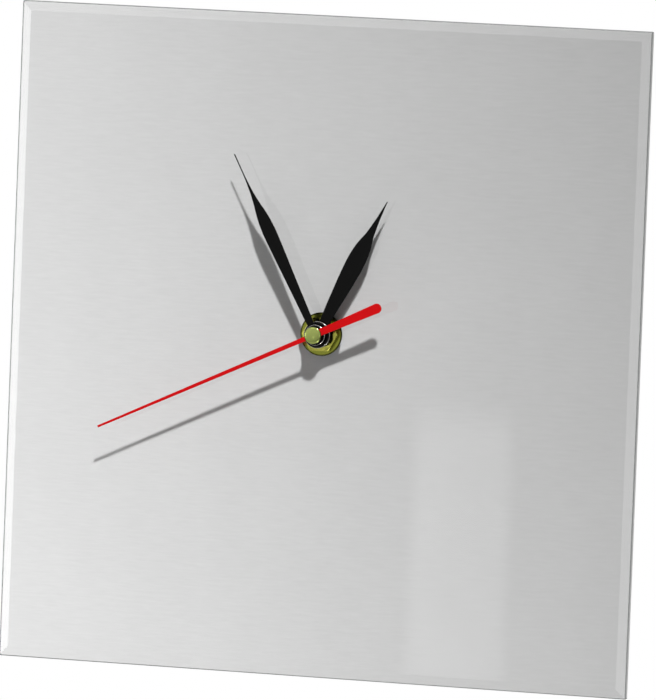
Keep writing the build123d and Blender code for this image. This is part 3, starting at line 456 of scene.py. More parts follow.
@dataclass(frozen=True)
class GreyPrint:
    """The faintly streaked grey print behind the glass, with painted shade to the right and top.

    Each of its three marks says how often it repeats along each axis, and its share of the tone.
    """

    name: str
    dark: Colour
    middle: Colour
    light: Colour
    back: Colour
    film_middle: float
    middle_tone: float = 0.504
    # Painted shade: the tone falls off by these slopes to the right and towards the top, per
    # metre.
    across: float = -2.35
    painted_shade_upward: float = -0.722
    streak: tuple[Triple, float] = ((85, 1, 820), 0.17)
    hairline: tuple[Triple, float] = ((210, 1, 1900), 0.10)
    mottle: tuple[Triple, float] = ((30, 1, 22), 0.09)
    weave_size: float = 900.0
    weave_depth: float = 0.004
    back_darkest: float = 0.9
    roughness: float = 0.45
    specular: float = 0.2

    def build(self) -> Material:
        """Make the material.

        Returns:
            The material.
        """
        recipe = Recipe(self.name)
        across, depth, up = recipe.axes()
        # Painted shade: lighter to the left and towards the bottom, darker to the right and top.
        tone = recipe.math("MULTIPLY_ADD", across, self.across, self.middle_tone)
        tone = recipe.math("MULTIPLY_ADD", up, self.painted_shade_upward, tone)
        for stretch, share in (self.streak, self.hairline, self.mottle):
            pattern = recipe.math("SUBTRACT", recipe.noise(1.0, stretch), 0.5)
            tone = recipe.math("MULTIPLY_ADD", pattern, share, tone)
        front = recipe.ramp(tone, ((0.0, self.dark), (0.5, self.middle), (1.0, self.light)))
        weave = recipe.noise(self.weave_size)
        behind = recipe.clouded(weave, self.back, self.back_darkest)
        colour = recipe.blend(recipe.math("GREATER_THAN", depth, self.film_middle), front, behind)
        return recipe.done(recipe.surface(
            Base_Color=colour, Roughness=self.roughness, Specular_IOR_Level=self.specular,
            Normal=recipe.bump(weave, self.weave_depth)))


@dataclass(frozen=True)
class Metal:
    """A bare or plated metal with the marks of how it was worked, and on some pieces painted shade
    on the rim.
    """

    name: str
    colour: Colour
    roughness: float
    grain: Grain
    depth: float = 0.004
    tarnish: float = 0.75
    # Painted shade: past this radius from the hand axis, in millimetres, the colour darkens to a
    # share of itself over a soft edge.
    painted_shade_beyond: float = 0.0
    painted_shade_share: float = 0.3
    painted_shade_edge: float = 0.2
    wear: Point = (0.75, 1.25)
    cloud_size: float = 320.0
    ring_size: float = 9000.0
    brush_stretch: Triple = (9000, 9000, 250)
    roll_size: float = 4200.0

    def marks(self, recipe: Recipe) -> Socket:
        """The marks of the grain.

        Args:
            recipe: The tree that they are drawn in.

        Returns:
            The pattern, between 0 and 1.
        """
        if self.grain is Grain.TURNED:
            return recipe.rings(self.ring_size)
        if self.grain is Grain.BRUSHED:
            return recipe.noise(1.0, self.brush_stretch)
        return recipe.noise(self.roll_size)

    def build(self) -> Material:
        """Make the material.

        Returns:
            The material.
        """
        recipe = Recipe(self.name)
        marks = self.marks(recipe)
        colour = recipe.clouded(recipe.noise(self.cloud_size), self.colour, self.tarnish)
        # Painted shade on the rim, beyond a radius from the hand axis.
        if self.painted_shade_beyond:
            clear_of_painted_shade = recipe.soft_within(recipe.off_axis(), 0.0, self.painted_shade_beyond * MM,
                                          self.painted_shade_edge * MM)
            colour = recipe.blend(clear_of_painted_shade, darker(self.colour, self.painted_shade_share), colour)
        return recipe.done(recipe.surface(
            Base_Color=colour, Metallic=1.0,
            Roughness=recipe.worn(marks, self.roughness, self.wear),
            Normal=recipe.bump(marks, self.depth)))


@dataclass(frozen=True)
class Plastic:
    """A moulded plastic with the fine texture of its mould."""

    name: str
    colour: Colour
    roughness: float
    spark: float = 0.02
    spark_size: float = 0.35
    specular: float = 0.4
    glow: float = 0.0
    glow_depth: float = 1.0
    spark_detail: float = 2.0
    cloud_size: float = 90.0
    darkest: float = 0.86
    wear: Point = (0.85, 1.15)

    def build(self) -> Material:
        """Make the material.

        Returns:
            The material.
        """
        recipe = Recipe(self.name)
        spark = recipe.noise(1.0 / (self.spark_size * MM), detail=self.spark_detail)
        return recipe.done(recipe.surface(
            Base_Color=recipe.clouded(recipe.noise(self.cloud_size), self.colour, self.darkest),
            Roughness=recipe.worn(spark, self.roughness, self.wear),
            Specular_IOR_Level=self.specular, Subsurface_Weight=self.glow,
            Subsurface_Scale=self.glow_depth * MM, Normal=recipe.bump(spark, self.spark)))


@dataclass(frozen=True)
class Lacquer:
    """Paint on a thin stamped blade, a little uneven where it ran."""

    name: str
    colour: Colour
    roughness: float
    specular: float
    peel_size: float = 1400.0
    peel_detail: float = 2.0
    peel_depth: float = 0.003
    cloud_size: float = 160.0
    darkest: float = 0.82
    wear: Point = (0.9, 1.15)

    def build(self) -> Material:
        """Make the material.

        Returns:
            The material.
        """
        recipe = Recipe(self.name)
        peel = recipe.noise(self.peel_size, detail=self.peel_detail)
        return recipe.done(recipe.surface(
            Base_Color=recipe.clouded(recipe.noise(self.cloud_size), self.colour, self.darkest),
            Roughness=recipe.worn(peel, self.roughness, self.wear),
            Specular_IOR_Level=self.specular, Normal=recipe.bump(peel, self.peel_depth)))


@dataclass(frozen=True)
class Jacket:
    """The printed sleeve of the battery, with its bands and signs near the ends.

    Its ends and its middle are in metres, and its print is measured in millimetres.
    """

    name: str
    left: float
    right: float
    middle: float
    body: Colour
    band: Colour
    line: Colour
    half_band: float = 5.0
    half_line: float = 0.6
    half_base_line: float = 1.0
    half_stroke: float = 0.4
    plus_reach: float = 1.7
    minus_place: float = 5.5
    minus_reach: float = 1.6
    film_size: float = 260.0
    film_stretch: Triple = (1, 3, 3)
    film_depth: float = 0.006
    roughness: Point = (0.24, 0.36)
    specular: float = 0.5

    def build(self) -> Material:
        """Make the material.

        Returns:
            The material.
        """
        recipe = Recipe(self.name)
        across, _, up = recipe.axes()
        band_middle = self.right - self.half_band * MM
        line_middle = self.right - (2 * self.half_band + self.half_line) * MM
        ink = self.body
        for middle, half, colour in (
                (band_middle, self.half_band, self.band),
                (line_middle, self.half_line, self.line),
                (self.left + self.half_base_line * MM, self.half_base_line, self.line)):
            ink = recipe.blend(recipe.within(across, middle, half * MM), ink, colour)
        lying = (self.plus_reach, self.half_stroke)
        plus = recipe.math("MAXIMUM", *(self.bar(recipe, across, up, band_middle, half_size)
                                        for half_size in (lying, lying[::-1])))
        minus = self.bar(recipe, across, up, self.left + self.minus_place * MM,
                         (self.half_stroke, self.minus_reach))
        ink = recipe.blend(plus, ink, self.body)
        ink = recipe.blend(minus, ink, self.band)
        film = recipe.noise(self.film_size, self.film_stretch)
        return recipe.done(recipe.surface(
            Base_Color=ink, Roughness=recipe.spread(film, *self.roughness),
            Specular_IOR_Level=self.specular, Normal=recipe.bump(film, self.film_depth)))

    def bar(self, recipe: Recipe, across: Socket, up: Socket, place: float,
            half_size: Point) -> Socket:
        """A small printed bar on the sleeve.

        Args:
            recipe: The tree that it is drawn in.
            across: The coordinate along the battery.
            up: The coordinate round the battery.
            place: Where the bar's middle is along the battery, in metres.
            half_size: Half the bar's size along and across the battery, in millimetres.

        Returns:
            1 on the bar and 0 beside it.
        """
        return recipe.math("MULTIPLY", recipe.within(across, place, half_size[0] * MM),
                           recipe.within(up, self.middle, half_size[1] * MM))


@dataclass(frozen=True)
class Board:
    """A printed circuit board: tracks under solder resist, which is a little glossy."""

    name: str
    resist: Colour
    track: Colour
    tin: Colour
    middle: float
    tracks_per_metre: float = 900.0
    half_track: float = 0.22
    track_depth: float = 0.03
    run_size: float = 95.0
    run_stretch: Triple = (1, 0, 1)
    runs_above: float = 0.47
    tin_beyond: float = 20.5
    half_tin: float = 1.9
    roughness: Point = (0.3, 0.45)

    def build(self) -> Material:
        """Make the material.

        Returns:
            The material.
        """
        recipe = Recipe(self.name)
        across, _, up = recipe.axes()
        lines = recipe.math("FRACT", recipe.math("MULTIPLY", up, self.tracks_per_metre))
        runs = recipe.noise(self.run_size, self.run_stretch, 0.0)
        tracks = recipe.math("MULTIPLY", recipe.within(lines, 0.5, self.half_track),
                             recipe.math("GREATER_THAN", runs, self.runs_above))
        outside = recipe.math("GREATER_THAN", recipe.math("ABSOLUTE", across),
                              self.tin_beyond * MM)
        ends = recipe.math("MULTIPLY", outside,
                           recipe.within(up, self.middle, self.half_tin * MM))
        colour = recipe.blend(tracks, self.resist, self.track)
        colour = recipe.blend(ends, colour, self.tin)
        return recipe.done(recipe.surface(
            Base_Color=colour, Roughness=recipe.spread(runs, *self.roughness),
            Normal=recipe.bump(tracks, self.track_depth)))


FINE_BRASS = Metal("nut_brass", shade(172, 170, 78), 0.14, Grain.TURNED)
# The washer and the cap carry painted shade on their rims.
WASHER_BRASS = Metal("washer_brass", shade(134, 138, 56), 0.2, Grain.TURNED,
                     painted_shade_beyond=9.3, painted_shade_share=0.14)
CAP_BRASS = Metal("cap_brass", shade(160, 172, 96), 0.14, Grain.TURNED,
                  painted_shade_beyond=3.75, painted_shade_share=0.2)
ZINC_STEEL = Metal("zinc_steel", shade(186, 188, 190), 0.34, Grain.BRUSHED, 0.006, 0.86)
BRIGHT_STEEL = Metal("steel_arbor", shade(205, 205, 208), 0.2, Grain.BRUSHED, 0.002, 0.9)
MOTOR_IRON = Metal("motor_iron", shade(150, 150, 152), 0.42, Grain.ROLLED, 0.008, 0.85)
TINNED = Metal("contact_metal", shade(208, 207, 200), 0.26, Grain.BRUSHED, 0.003, 0.9)
CRYSTAL_METAL = Metal("crystal_metal", shade(204, 204, 206), 0.22, Grain.ROLLED, 0.003, 0.92)
SOLDER = Metal("solder", shade(190, 190, 192), 0.32, Grain.ROLLED, 0.006, 0.85)
COPPER_WIRE = Metal("copper_wire", shade(178, 92, 52), 0.3, Grain.ROLLED, 0.002, 0.8)
NICKEL = Metal("bright_rim", shade(214, 213, 208), 0.16, Grain.TURNED, 0.002, 0.9)
RUBBER = Plastic("black_rubber", shade(34, 34, 35), 0.8, 0.03, 0.25, 0.25)
CASE_BLACK = Plastic("case_plastic", shade(44, 44, 46), 0.55, 0.03, 0.45)
COVER_BLACK = Plastic("cover_plastic", shade(50, 50, 52), 0.5, 0.035, 0.5)
PLATE_WHITE = Plastic("plate_plastic", shade(222, 220, 212), 0.42, 0.008, 0.6, 0.45, 0.1)
WHEEL_WHITE = Plastic("wheel_plastic", shade(238, 236, 226), 0.36, 0.005, 0.6, 0.5, 0.15)
KNOB_IVORY = Plastic("knob_plastic", shade(214, 212, 203), 0.4, 0.012, 0.5, 0.45, 0.1)
BOBBIN_BLUE = Plastic("bobbin_plastic", shade(50, 92, 140), 0.42, 0.01)
FERRITE = Plastic("ferrite", shade(74, 74, 77), 0.5, 0.02, 0.12, 0.5)
CHIP_RESIN = Plastic("chip_resin", shade(30, 30, 31), 0.32, 0.05, 1.6, 0.5)
HAND_BLACK = Lacquer("hand_black", shade(10, 10, 10), 0.5, 0.06)
COLLET_BLACK = Lacquer("collet_black", shade(8, 8, 8), 0.3, 0.12)
HAND_RED = Lacquer("hand_red", shade(210, 9, 15), 0.45, 0.12)
GLASS = ClearGlass("glass", (0.985, 0.99, 0.987))
GROUND_EDGE = GroundGlass("ground_edge", (0.26, 0.27, 0.267))


# Shaping


class Axis(Enum):
    """The direction a turned piece is turned about."""

    DEPTH = (0.0, -1.0, 0.0)
    ACROSS = (1.0, 0.0, 0.0)


def each_once(parts: Iterable[Part]) -> list[Part]:
    """Drop the parts that come again, and keep the others in their order."""
    return list(dict.fromkeys(parts))


def shifted(points: Profile, along: float) -> Profile:
    """Move a profile's points along its axis, in millimetres."""
    return tuple((radius, place + along) for radius, place in points)


def turned(points: Sequence[Point], origin: Vector, axis: Axis = Axis.DEPTH,
           closed: bool = False, steps: int = ROUND_STEPS) -> Shape:
    """Turn a profile about an axis.

    Args:
        points: The profile's radius and its place along the axis, in millimetres.
        origin: The point on the axis that places are counted from, in metres.
        axis: The direction of the axis.
        closed: Whether the profile closes on itself, as a ring's does.
        steps: The number of sides round the axis.

    Returns:
        The turned shape.
    """
    shape = bmesh.new()
    direction = Vector(axis.value)
    upright = Vector((0, 0, 1))
    corners = [shape.verts.new(origin + (direction * along + upright * radius) * MM)
               for radius, along in points]
    pairs = list(zip(corners, corners[1:]))
    if closed:
        pairs.append((corners[-1], corners[0]))
    edges = [shape.edges.new(pair) for pair in pairs]
    bmesh.ops.spin(shape, geom=corners + edges, cent=origin, axis=direction,
                   angle=FULL_TURN, steps=steps, use_merge=True)
    bmesh.ops.remove_doubles(shape, verts=shape.verts, dist=FINE_GAP)
    bmesh.ops.recalc_face_normals(shape, faces=shape.faces)
    return shape


def copy_of(node: str) -> Shape:
    """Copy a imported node's mesh with its triangles joined into whole faces.

    Args:
        node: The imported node.

    Returns:
        Its shape.
    """
    shape = bmesh.new()
    shape.from_mesh(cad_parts[node].data)
    join_flat(shape)
    return shape


def join_flat(shape: Shape) -> None:
    """Merge a shape's doubled corners and join the faces that lie flat to each other."""
    bmesh.ops.remove_doubles(shape, verts=shape.verts, dist=MERGE_GAP)
    bmesh.ops.dissolve_limit(shape, angle_limit=FLAT_ANGLE, verts=shape.verts, edges=shape.edges)


def soften(shape: Shape, width: float, segments: int = 2) -> Shape:
    """Round every sharp edge of a shape.

    Args:
        shape: The shape, which is changed.
        width: The width of the rounding, in millimetres.
        segments: The number of faces across it.

    Returns:
        The same shape.
    """
    edges = [edge for edge in shape.edges
             if len(edge.link_faces) == 2 and edge.calc_face_angle() > SHARP_ANGLE]
    bmesh.ops.bevel(shape, geom=edges, offset=width * MM, offset_type="OFFSET",
                    segments=segments, profile=0.5, affect="EDGES", material=-1,
                    clamp_overlap=True)
    return shape


def cut_flats(shape: Shape, apothem: float) -> None:
    """Cut a hexagon's flats on a turned blank, square to the depth.

    Args:
        shape: The blank, which is changed.
        apothem: The distance of the flats from the hand axis, in millimetres.
    """
    for side in range(HEXAGON):
        turn = FULL_TURN * (side + 0.5) / HEXAGON
        outward = Vector((cos(turn), 0, sin(turn)))
        bmesh.ops.bisect_plane(shape, geom=[*shape.verts, *shape.edges, *shape.faces],
                               dist=FINE_GAP, plane_co=outward * apothem * MM,
                               plane_no=outward, clear_outer=True)
        bmesh.ops.edgeloop_fill(shape, edges=[edge for edge in shape.edges if edge.is_boundary])
    bmesh.ops.recalc_face_normals(shape, faces=shape.faces)


def block(shape: Shape, middle: Vector, size: Sequence[float]) -> list[bmesh.types.BMVert]:
    """Add a straight block to a shape.

    Args:
        shape: The shape that it is added to.
        middle: The block's middle, in metres.
        size: Its size along x, y and z, in millimetres.

    Returns:
        The block's corners.
    """
    place = Matrix.Translation(middle) @ Matrix.Diagonal((*[side * MM for side in size], 1.0))
    return bmesh.ops.create_cube(shape, size=1.0, matrix=place)["verts"]


def cross(shape: Shape, middle: Vector, reach: float, width: float, thickness: float) -> None:
    """Add a plus sign to a shape: a small block with an arm drawn out of each side.

    Args:
        shape: The shape that it is added to.
        middle: The sign's middle, in metres.
        reach: How far its arms reach from the middle, in millimetres.
        width: The width of an arm, in millimetres.
        thickness: How thick it is along the depth, in millimetres.
    """
    corners = block(shape, middle, (width, thickness, width))
    sides = each_once(face for corner in corners for face in corner.link_faces)
    for face in sides:
        face.normal_update()
    for face in [side for side in sides if abs(side.normal.y) < 0.5]:
        outward = face.normal.copy()
        arm = bmesh.ops.extrude_discrete_faces(shape, faces=[face])["faces"][0]
        bmesh.ops.translate(shape, verts=arm.verts, vec=outward * (reach - width / 2) * MM)


def carve(shape: Shape, cutter: Shape) -> Shape:
    """Cut one shape out of another.

    Args:
        shape: The shape that is carved; it is used up.
        cutter: What is cut out of it; it is used up.

    Returns:
        The carved shape.

    Raises:
        RuntimeError: If nothing is left of the shape, as happens when a cutter overlaps itself.
    """
    holders = []
    for part, name in ((shape, "carved"), (cutter, "cutter")):
        mesh = bpy.data.meshes.new(name)
        part.to_mesh(mesh)
        part.free()
        holder = bpy.data.objects.new(name, mesh)
        bpy.context.scene.collection.objects.link(holder)
        holders.append(holder)
    carved, tool = holders
    modifier = carved.modifiers.new("carve", "BOOLEAN")
    modifier.operation = "DIFFERENCE"
    modifier.solver = "EXACT"
    modifier.object = tool
    finished = carved.evaluated_get(bpy.context.evaluated_depsgraph_get())
    result = bmesh.new()
    result.from_mesh(finished.to_mesh())
    finished.to_mesh_clear()
    for holder in holders:
        mesh = holder.data
        bpy.data.objects.remove(holder)
        bpy.data.meshes.remove(mesh)
    if not result.faces:
        raise RuntimeError("the carving left nothing of the shape")
    join_flat(result)
    return result


def add_piece(name: str, shape: Shape, body: str, finish: Finish,
              stands_for: Iterable[str] = (),
              smooth_below: float = SMOOTH_BELOW) -> bpy.types.Object:
    """Turn a finished shape into a piece of the clock.

    Args:
        name: The piece's name.
        shape: Its shape, which is used up.
        body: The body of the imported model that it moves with.
        finish: Its finish.
        stands_for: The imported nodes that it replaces.
        smooth_below: Edges flatter than this many degrees are shaded smooth.

    Returns:
        The piece's object.

    Raises:
        RuntimeError: If the shape has no faces.
    """
    if not shape.faces:
        raise RuntimeError(f"{name} has no faces")
    for face in shape.faces:
        face.smooth = True
    mesh = bpy.data.meshes.new(name)
    shape.to_mesh(mesh)
    shape.free()
    mesh.set_sharp_from_angle(angle=radians(smooth_below))
    mesh.materials.append(material_of(finish))
    piece = bpy.data.objects.new(name, mesh)
    bpy.context.scene.collection.objects.link(piece)
    weights = piece.modifiers.new("weighted_normals", "WEIGHTED_NORMAL")
    weights.keep_sharp = True
    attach(piece, body)
    if stands_for:
        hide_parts(*stands_for)
    LOG.info("%s: %d faces on %s", name, len(mesh.polygons), body)
    return piece


def add_softened(name: str, node: str, width: float, finish: Finish,
                 segments: int = 2) -> None:
    """Make a piece on the clock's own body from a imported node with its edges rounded.

    Args:
        name: The piece's name.
        node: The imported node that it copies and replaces.
        width: The width of the rounding, in millimetres.
        finish: Its finish.
        segments: The number of faces across the rounding.
    """
    add_piece(name, soften(copy_of(node), width, segments), "clock", finish, [node])


def paint(finish: Finish, *nodes: str) -> None:
    """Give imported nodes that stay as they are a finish.

    Args:
        finish: The finish.
        *nodes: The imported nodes.
    """
    for node in nodes:
        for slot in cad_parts[node].material_slots:
            slot.material = material_of(finish)
        LOG.info("%s: painted with %s", node, finish.name)


def back_point(node: str) -> Vector:
    """The point of the hand axis level with a node's back."""
    return Vector((0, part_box(node)[1].y, 0))


def middle_of(node: str) -> Vector:
    """The middle of a node's box."""
    low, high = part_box(node)
    return (low + high) / 2


def size_of(node: str) -> Triple:
    """A node's size along x, y and z, in millimetres."""
    return tuple((top - bottom) / MM for bottom, top in zip(*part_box(node)))


def length_of(node: str) -> float:
    """A node's size along the depth, in millimetres."""
    return size_of(node)[1]


# Sub-assemblies


@dataclass(frozen=True)
class Face:
    """The glass panel with its ground bevel, and the print behind it."""

    arris: float = 0.42
    bond: float = 0.01
    polished_from: float = 0.9
    smooth_below: float = 5.0
    gloss: float = 0.043
    # The print's own grey is the middle level; its painted shade runs out to the darker and
    # lighter ends.
    print_and_painted_shade_levels: tuple[int, int, int] = (170, 200, 230)
    print_back: Colour = shade(206, 205, 201)

    def build(self) -> None:
        """Build the panel with its small ground arrises, bonded to the print, and dress both."""
        panel = copy_of("glass_panel")
        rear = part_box("glass_panel")[1].y
        against_print = [vert for vert in panel.verts if abs(vert.co.y - rear) < MERGE_GAP]
        bmesh.ops.translate(panel, verts=against_print, vec=(0, self.bond * MM, 0))
        soften(panel, self.arris, 1)
        for face in panel.faces:
            face.normal_update()
            face.material_index = int(max(map(abs, face.normal)) < self.polished_from)
        piece = add_piece("bevelled_glass", panel, "clock", GLASS, ["glass_panel"],
                          self.smooth_below)
        piece.data.materials.append(material_of(GROUND_EDGE))
        paint(GreyPrint("print_film", *map(self.tone, self.print_and_painted_shade_levels), self.print_back,
                        middle_of("printed_backing").y), "printed_backing")

    def tone(self, level: int) -> Colour:
        """The print's own grey for a level seen through the glass, less the glass's gloss."""
        return ((linear(level) - self.gloss) / (1 - self.gloss) ** 2,) * 3


@dataclass(frozen=True)
class Fixings:
    """The washer, nut and threaded bushing in front of the glass, and the gasket behind."""

    bushing_radius: float = 4.0
    bushing_bore: float = 2.55
    bushing_edge: float = 0.1
    bushing_bore_edge: float = 0.2
    thread_pitch: float = 0.75
    thread_depth: float = 0.28
    flange_apothem: float = 5.5
    flange_blank: float = 6.435
    flange_thickness: float = 0.6
    nut_apothem: float = 7.5
    nut_corner: float = 9.0
    nut_chamfer: float = 0.7
    nut_rounding: float = 0.06
    nut_steps: int = 144
    bore_chamfer: float = 0.35
    washer_radius: float = 9.9
    gasket_radius: float = 15.0
    bore_radius: float = 4.1
    rounding: float = 0.12
    rounding_faces: int = 3

    def build(self) -> None:
        """Build the four pieces."""
        add_piece("washer", self.ring("brass_washer", self.washer_radius), "clock",
                  WASHER_BRASS, ["brass_washer"])
        add_piece("nut", self.nut(), "clock", FINE_BRASS, ["hex_nut"])
        add_piece("bushing", self.bushing(), "clock", FINE_BRASS,
                  ["threaded_bushing"])
        add_piece("gasket", self.ring("rubber_gasket", self.gasket_radius), "clock",
                  RUBBER, ["rubber_gasket"])

    def ring(self, node: str, radius: float) -> Shape:
        """A flat ring with rounded edges in a node's place.

        Args:
            node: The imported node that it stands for.
            radius: Its outer radius, in millimetres.

        Returns:
            The ring.
        """
        bore, thickness = self.bore_radius, length_of(node)
        profile = [(bore, 0), (radius, 0), (radius, thickness), (bore, thickness)]
        return soften(turned(profile, back_point(node), closed=True), self.rounding,
                      self.rounding_faces)

    def nut(self) -> Shape:
        """The hexagon nut: a chamfered blank with six flats.

        Returns:
            The nut.
        """
        thickness = length_of("hex_nut")
        corner, chamfer = self.nut_corner, self.nut_chamfer
        bore, mouth = self.bushing_radius, self.bushing_radius + self.bore_chamfer
        profile = [(bore, self.bore_chamfer), (mouth, 0), (corner - chamfer, 0),
                   (corner, chamfer / 2), (corner, thickness - chamfer),
                   (corner - 2 * chamfer, thickness), (mouth, thickness),
                   (bore, thickness - self.bore_chamfer)]
        blank = turned(profile, back_point("hex_nut"), closed=True, steps=self.nut_steps)
        cut_flats(blank, self.nut_apothem)
        return soften(blank, self.nut_rounding)

    def bushing(self) -> Shape:
        """The bushing, with its thread as ridges and its six-sided flange.

        Returns:
            The bushing.
        """
        length, place = length_of("threaded_bushing"), self.flange_thickness
        root, bore = self.bushing_radius - self.thread_depth, self.bushing_bore
        profile = [(bore, 0), (self.flange_blank, 0), (self.flange_blank, place)]
        while place + self.thread_pitch < length - self.thread_depth:
            profile += [(root, place), (self.bushing_radius, place + self.thread_pitch / 2)]
            place += self.thread_pitch
        profile += [(root, place), (root, length - self.bushing_edge),
                    (root - self.bushing_edge, length), (bore + self.bushing_bore_edge, length),
                    (bore, length - self.bushing_bore_edge)]
        blank = turned(profile, back_point("threaded_bushing"), closed=True)
        cut_flats(blank, self.flange_apothem)
        return blank


@dataclass(frozen=True)
class Taper:
    """How a blade narrows to its tip, as distances from the tip with their half-widths."""

    stations: Profile

    def half_width(self, from_tip: float) -> float:
        """The least half-width of the blade.

        Args:
            from_tip: The distance from its tip, in millimetres.

        Returns:
            The half-width in millimetres, or 0 where the blade keeps its own.
        """
        for (near, narrow), (far, wide) in zip(self.stations, self.stations[1:]):
            if from_tip <= far:
                share = max(0.0, from_tip - near) / (far - near)
                return narrow + (wide - narrow) * share
        return 0.0

    def apply(self, blade: Shape) -> None:
        """Widen a blade to the taper where it is narrower.

        Args:
            blade: The blade, which is changed; it points away from the hand axis.
        """
        length = max(vert.co.xz.length for vert in blade.verts)
        tips = [vert.co for vert in blade.verts if vert.co.xz.length > length - MERGE_GAP]
        middle = sum(tips, Vector()) / len(tips)
        outward = Vector((middle.x, 0, middle.z)).normalized()
        across = Vector((-outward.z, 0, outward.x))
        for from_tip, _ in self.stations[1:]:
            bmesh.ops.bisect_plane(blade, geom=[*blade.verts, *blade.edges, *blade.faces],
                                   dist=MERGE_GAP, plane_no=outward,
                                   plane_co=outward * (length - from_tip * MM))
        for vert in blade.verts:
            side = vert.co.dot(across)
            least = self.half_width((length - vert.co.dot(outward)) / MM) * MM
            if MERGE_GAP < abs(side) < least:
                vert.co += across * (least - abs(side)) * (1 if side > 0 else -1)


@dataclass(frozen=True)
class Collet:
    """A turned collet with a shallow groove round its face and a bright rim, in millimetres."""

    bore: float
    barrel: float
    disc: float
    disc_thickness: float
    bore_edge: float = 0.15
    groove_depth: float = 0.12
    groove_top: float = 0.35
    groove_floor: float = 0.2
    rounding: float = 0.24
    rounding_faces: int = 3
    rim_facing: Point = (-0.97, -0.2)

    def shape(self, node: str) -> Shape:
        """Make the collet, with its rim marked for a second finish.

        Args:
            node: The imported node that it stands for.

        Returns:
            The collet's shape.
        """
        length = length_of(node)
        step, floor = length - self.disc_thickness, length - self.groove_depth
        groove = (self.bore + self.disc) / 2
        profile = [(self.bore, 0), (self.barrel, 0), (self.barrel, step), (self.disc, step),
                   (self.disc, length), (groove + self.groove_top, length),
                   (groove + self.groove_floor, floor), (groove - self.groove_floor, floor),
                   (groove - self.groove_top, length), (self.bore + self.bore_edge, length),
                   (self.bore, length - self.bore_edge)]
        shape = soften(turned(profile, back_point(node), closed=True), self.rounding,
                       self.rounding_faces)
        least, most = self.rim_facing
        for face in shape.faces:
            face.normal_update()
            out = face.calc_center_median().xz.length > (self.disc - self.rounding) * MM
            face.material_index = int(out and least < face.normal.y < most)
        return shape


@dataclass(frozen=True)
class Hands:
    """The three hands with their collets, tube and cap."""

    blade_rounding: float = 0.09
    hour_taper: Taper = Taper(((0.0, 0.15), (4.6, 0.48), (9.2, 0.86), (13.8, 1.45),
                               (18.4, 2.15), (21.4, 2.72)))
    minute_taper: Taper = Taper((
        (0.0, 0.2), (11.0, 0.22), (14.7, 0.37), (19.1, 0.68), (22.0, 1.04), (24.9, 1.48),
        (27.9, 2.08), (30.8, 2.56), (33.8, 2.92), (38.2, 3.15), (42.0, 3.15), (48.4, 2.94),
        (58.7, 2.55), (70.4, 2.13), (82.2, 1.76)))
    second_taper: Taper = Taper(((0.0, 0.5), (100.0, 1.01)))
    hour_collet: Collet = Collet(2.5, 3.6, 6.1, 1.0)
    minute_collet: Collet = Collet(1.5, 2.6, 4.65, 0.9)
    tube_radius: float = 1.2
    tube_bore: float = 0.5
    tube_head: float = 0.45
    tube_steps: int = 48
    cap_radius: float = 3.95
    cap_skirt: float = 0.42
    cap_edge: Point = (0.15, 0.12)
    cap_steps: int = 14

    def build(self) -> None:
        """Build the blades, the collets, the tube and the cap."""
        for hand, finish, slot, taper in (
                ("hour_hand", HAND_BLACK, "hand_black", self.hour_taper),
                ("minute_hand", HAND_BLACK, "hand_black", self.minute_taper),
                ("second_hand", HAND_RED, "hand_red", self.second_taper)):
            blade = copy_of(hand)
            taper.apply(blade)
            add_piece(f"{hand}_blade", soften(blade, self.blade_rounding), hand, finish,
                      [hand])
        for name, collet, node, hand in (
                ("hour_hub", self.hour_collet, "hour_collet", "hour_hand"),
                ("minute_hub", self.minute_collet, "minute_collet", "minute_hand")):
            hub = add_piece(name, collet.shape(node), hand, COLLET_BLACK, [node])
            hub.data.materials.append(material_of(NICKEL))
        add_piece("second_tube", self.tube(), "second_hand", CAP_BRASS,
                  ["second_hand_tube"])
        add_piece("cap", self.cap(), "second_hand", CAP_BRASS, ["hand_cap"])

    def tube(self) -> Shape:
        """The short tube that is riveted into the second hand.

        Returns:
            The tube.
        """
        length = length_of("second_hand_tube")
        floor = length - self.tube_head
        profile = [(0, floor), (self.tube_bore, floor), (self.tube_bore, 0),
                   (self.tube_radius, 0), (self.tube_radius, length), (0, length)]
        return turned(profile, back_point("second_hand_tube"), steps=self.tube_steps)

    def cap(self) -> Shape:
        """The round cap: a short skirt and a low dome.

        Returns:
            The cap.
        """
        height, radius, skirt = length_of("hand_cap"), self.cap_radius, self.cap_skirt
        inset, rise = self.cap_edge
        profile = [(0, 0), (radius - inset, 0), (radius, rise), (radius, skirt)]
        for step in range(1, self.cap_steps):
            turn = QUARTER_TURN * step / self.cap_steps
            profile.append((radius * cos(turn), skirt + (height - skirt) * sin(turn)))
        profile.append((0, height))
        return turned(profile, back_point("hand_cap"))


@dataclass(frozen=True)
class Bracket:
    """The steel hanger behind the panel."""

    rounding: float = 0.14

    def build(self) -> None:
        """Build the strap with its edges broken."""
        add_softened("hanger", "hanger_bracket", self.rounding, ZINC_STEEL)


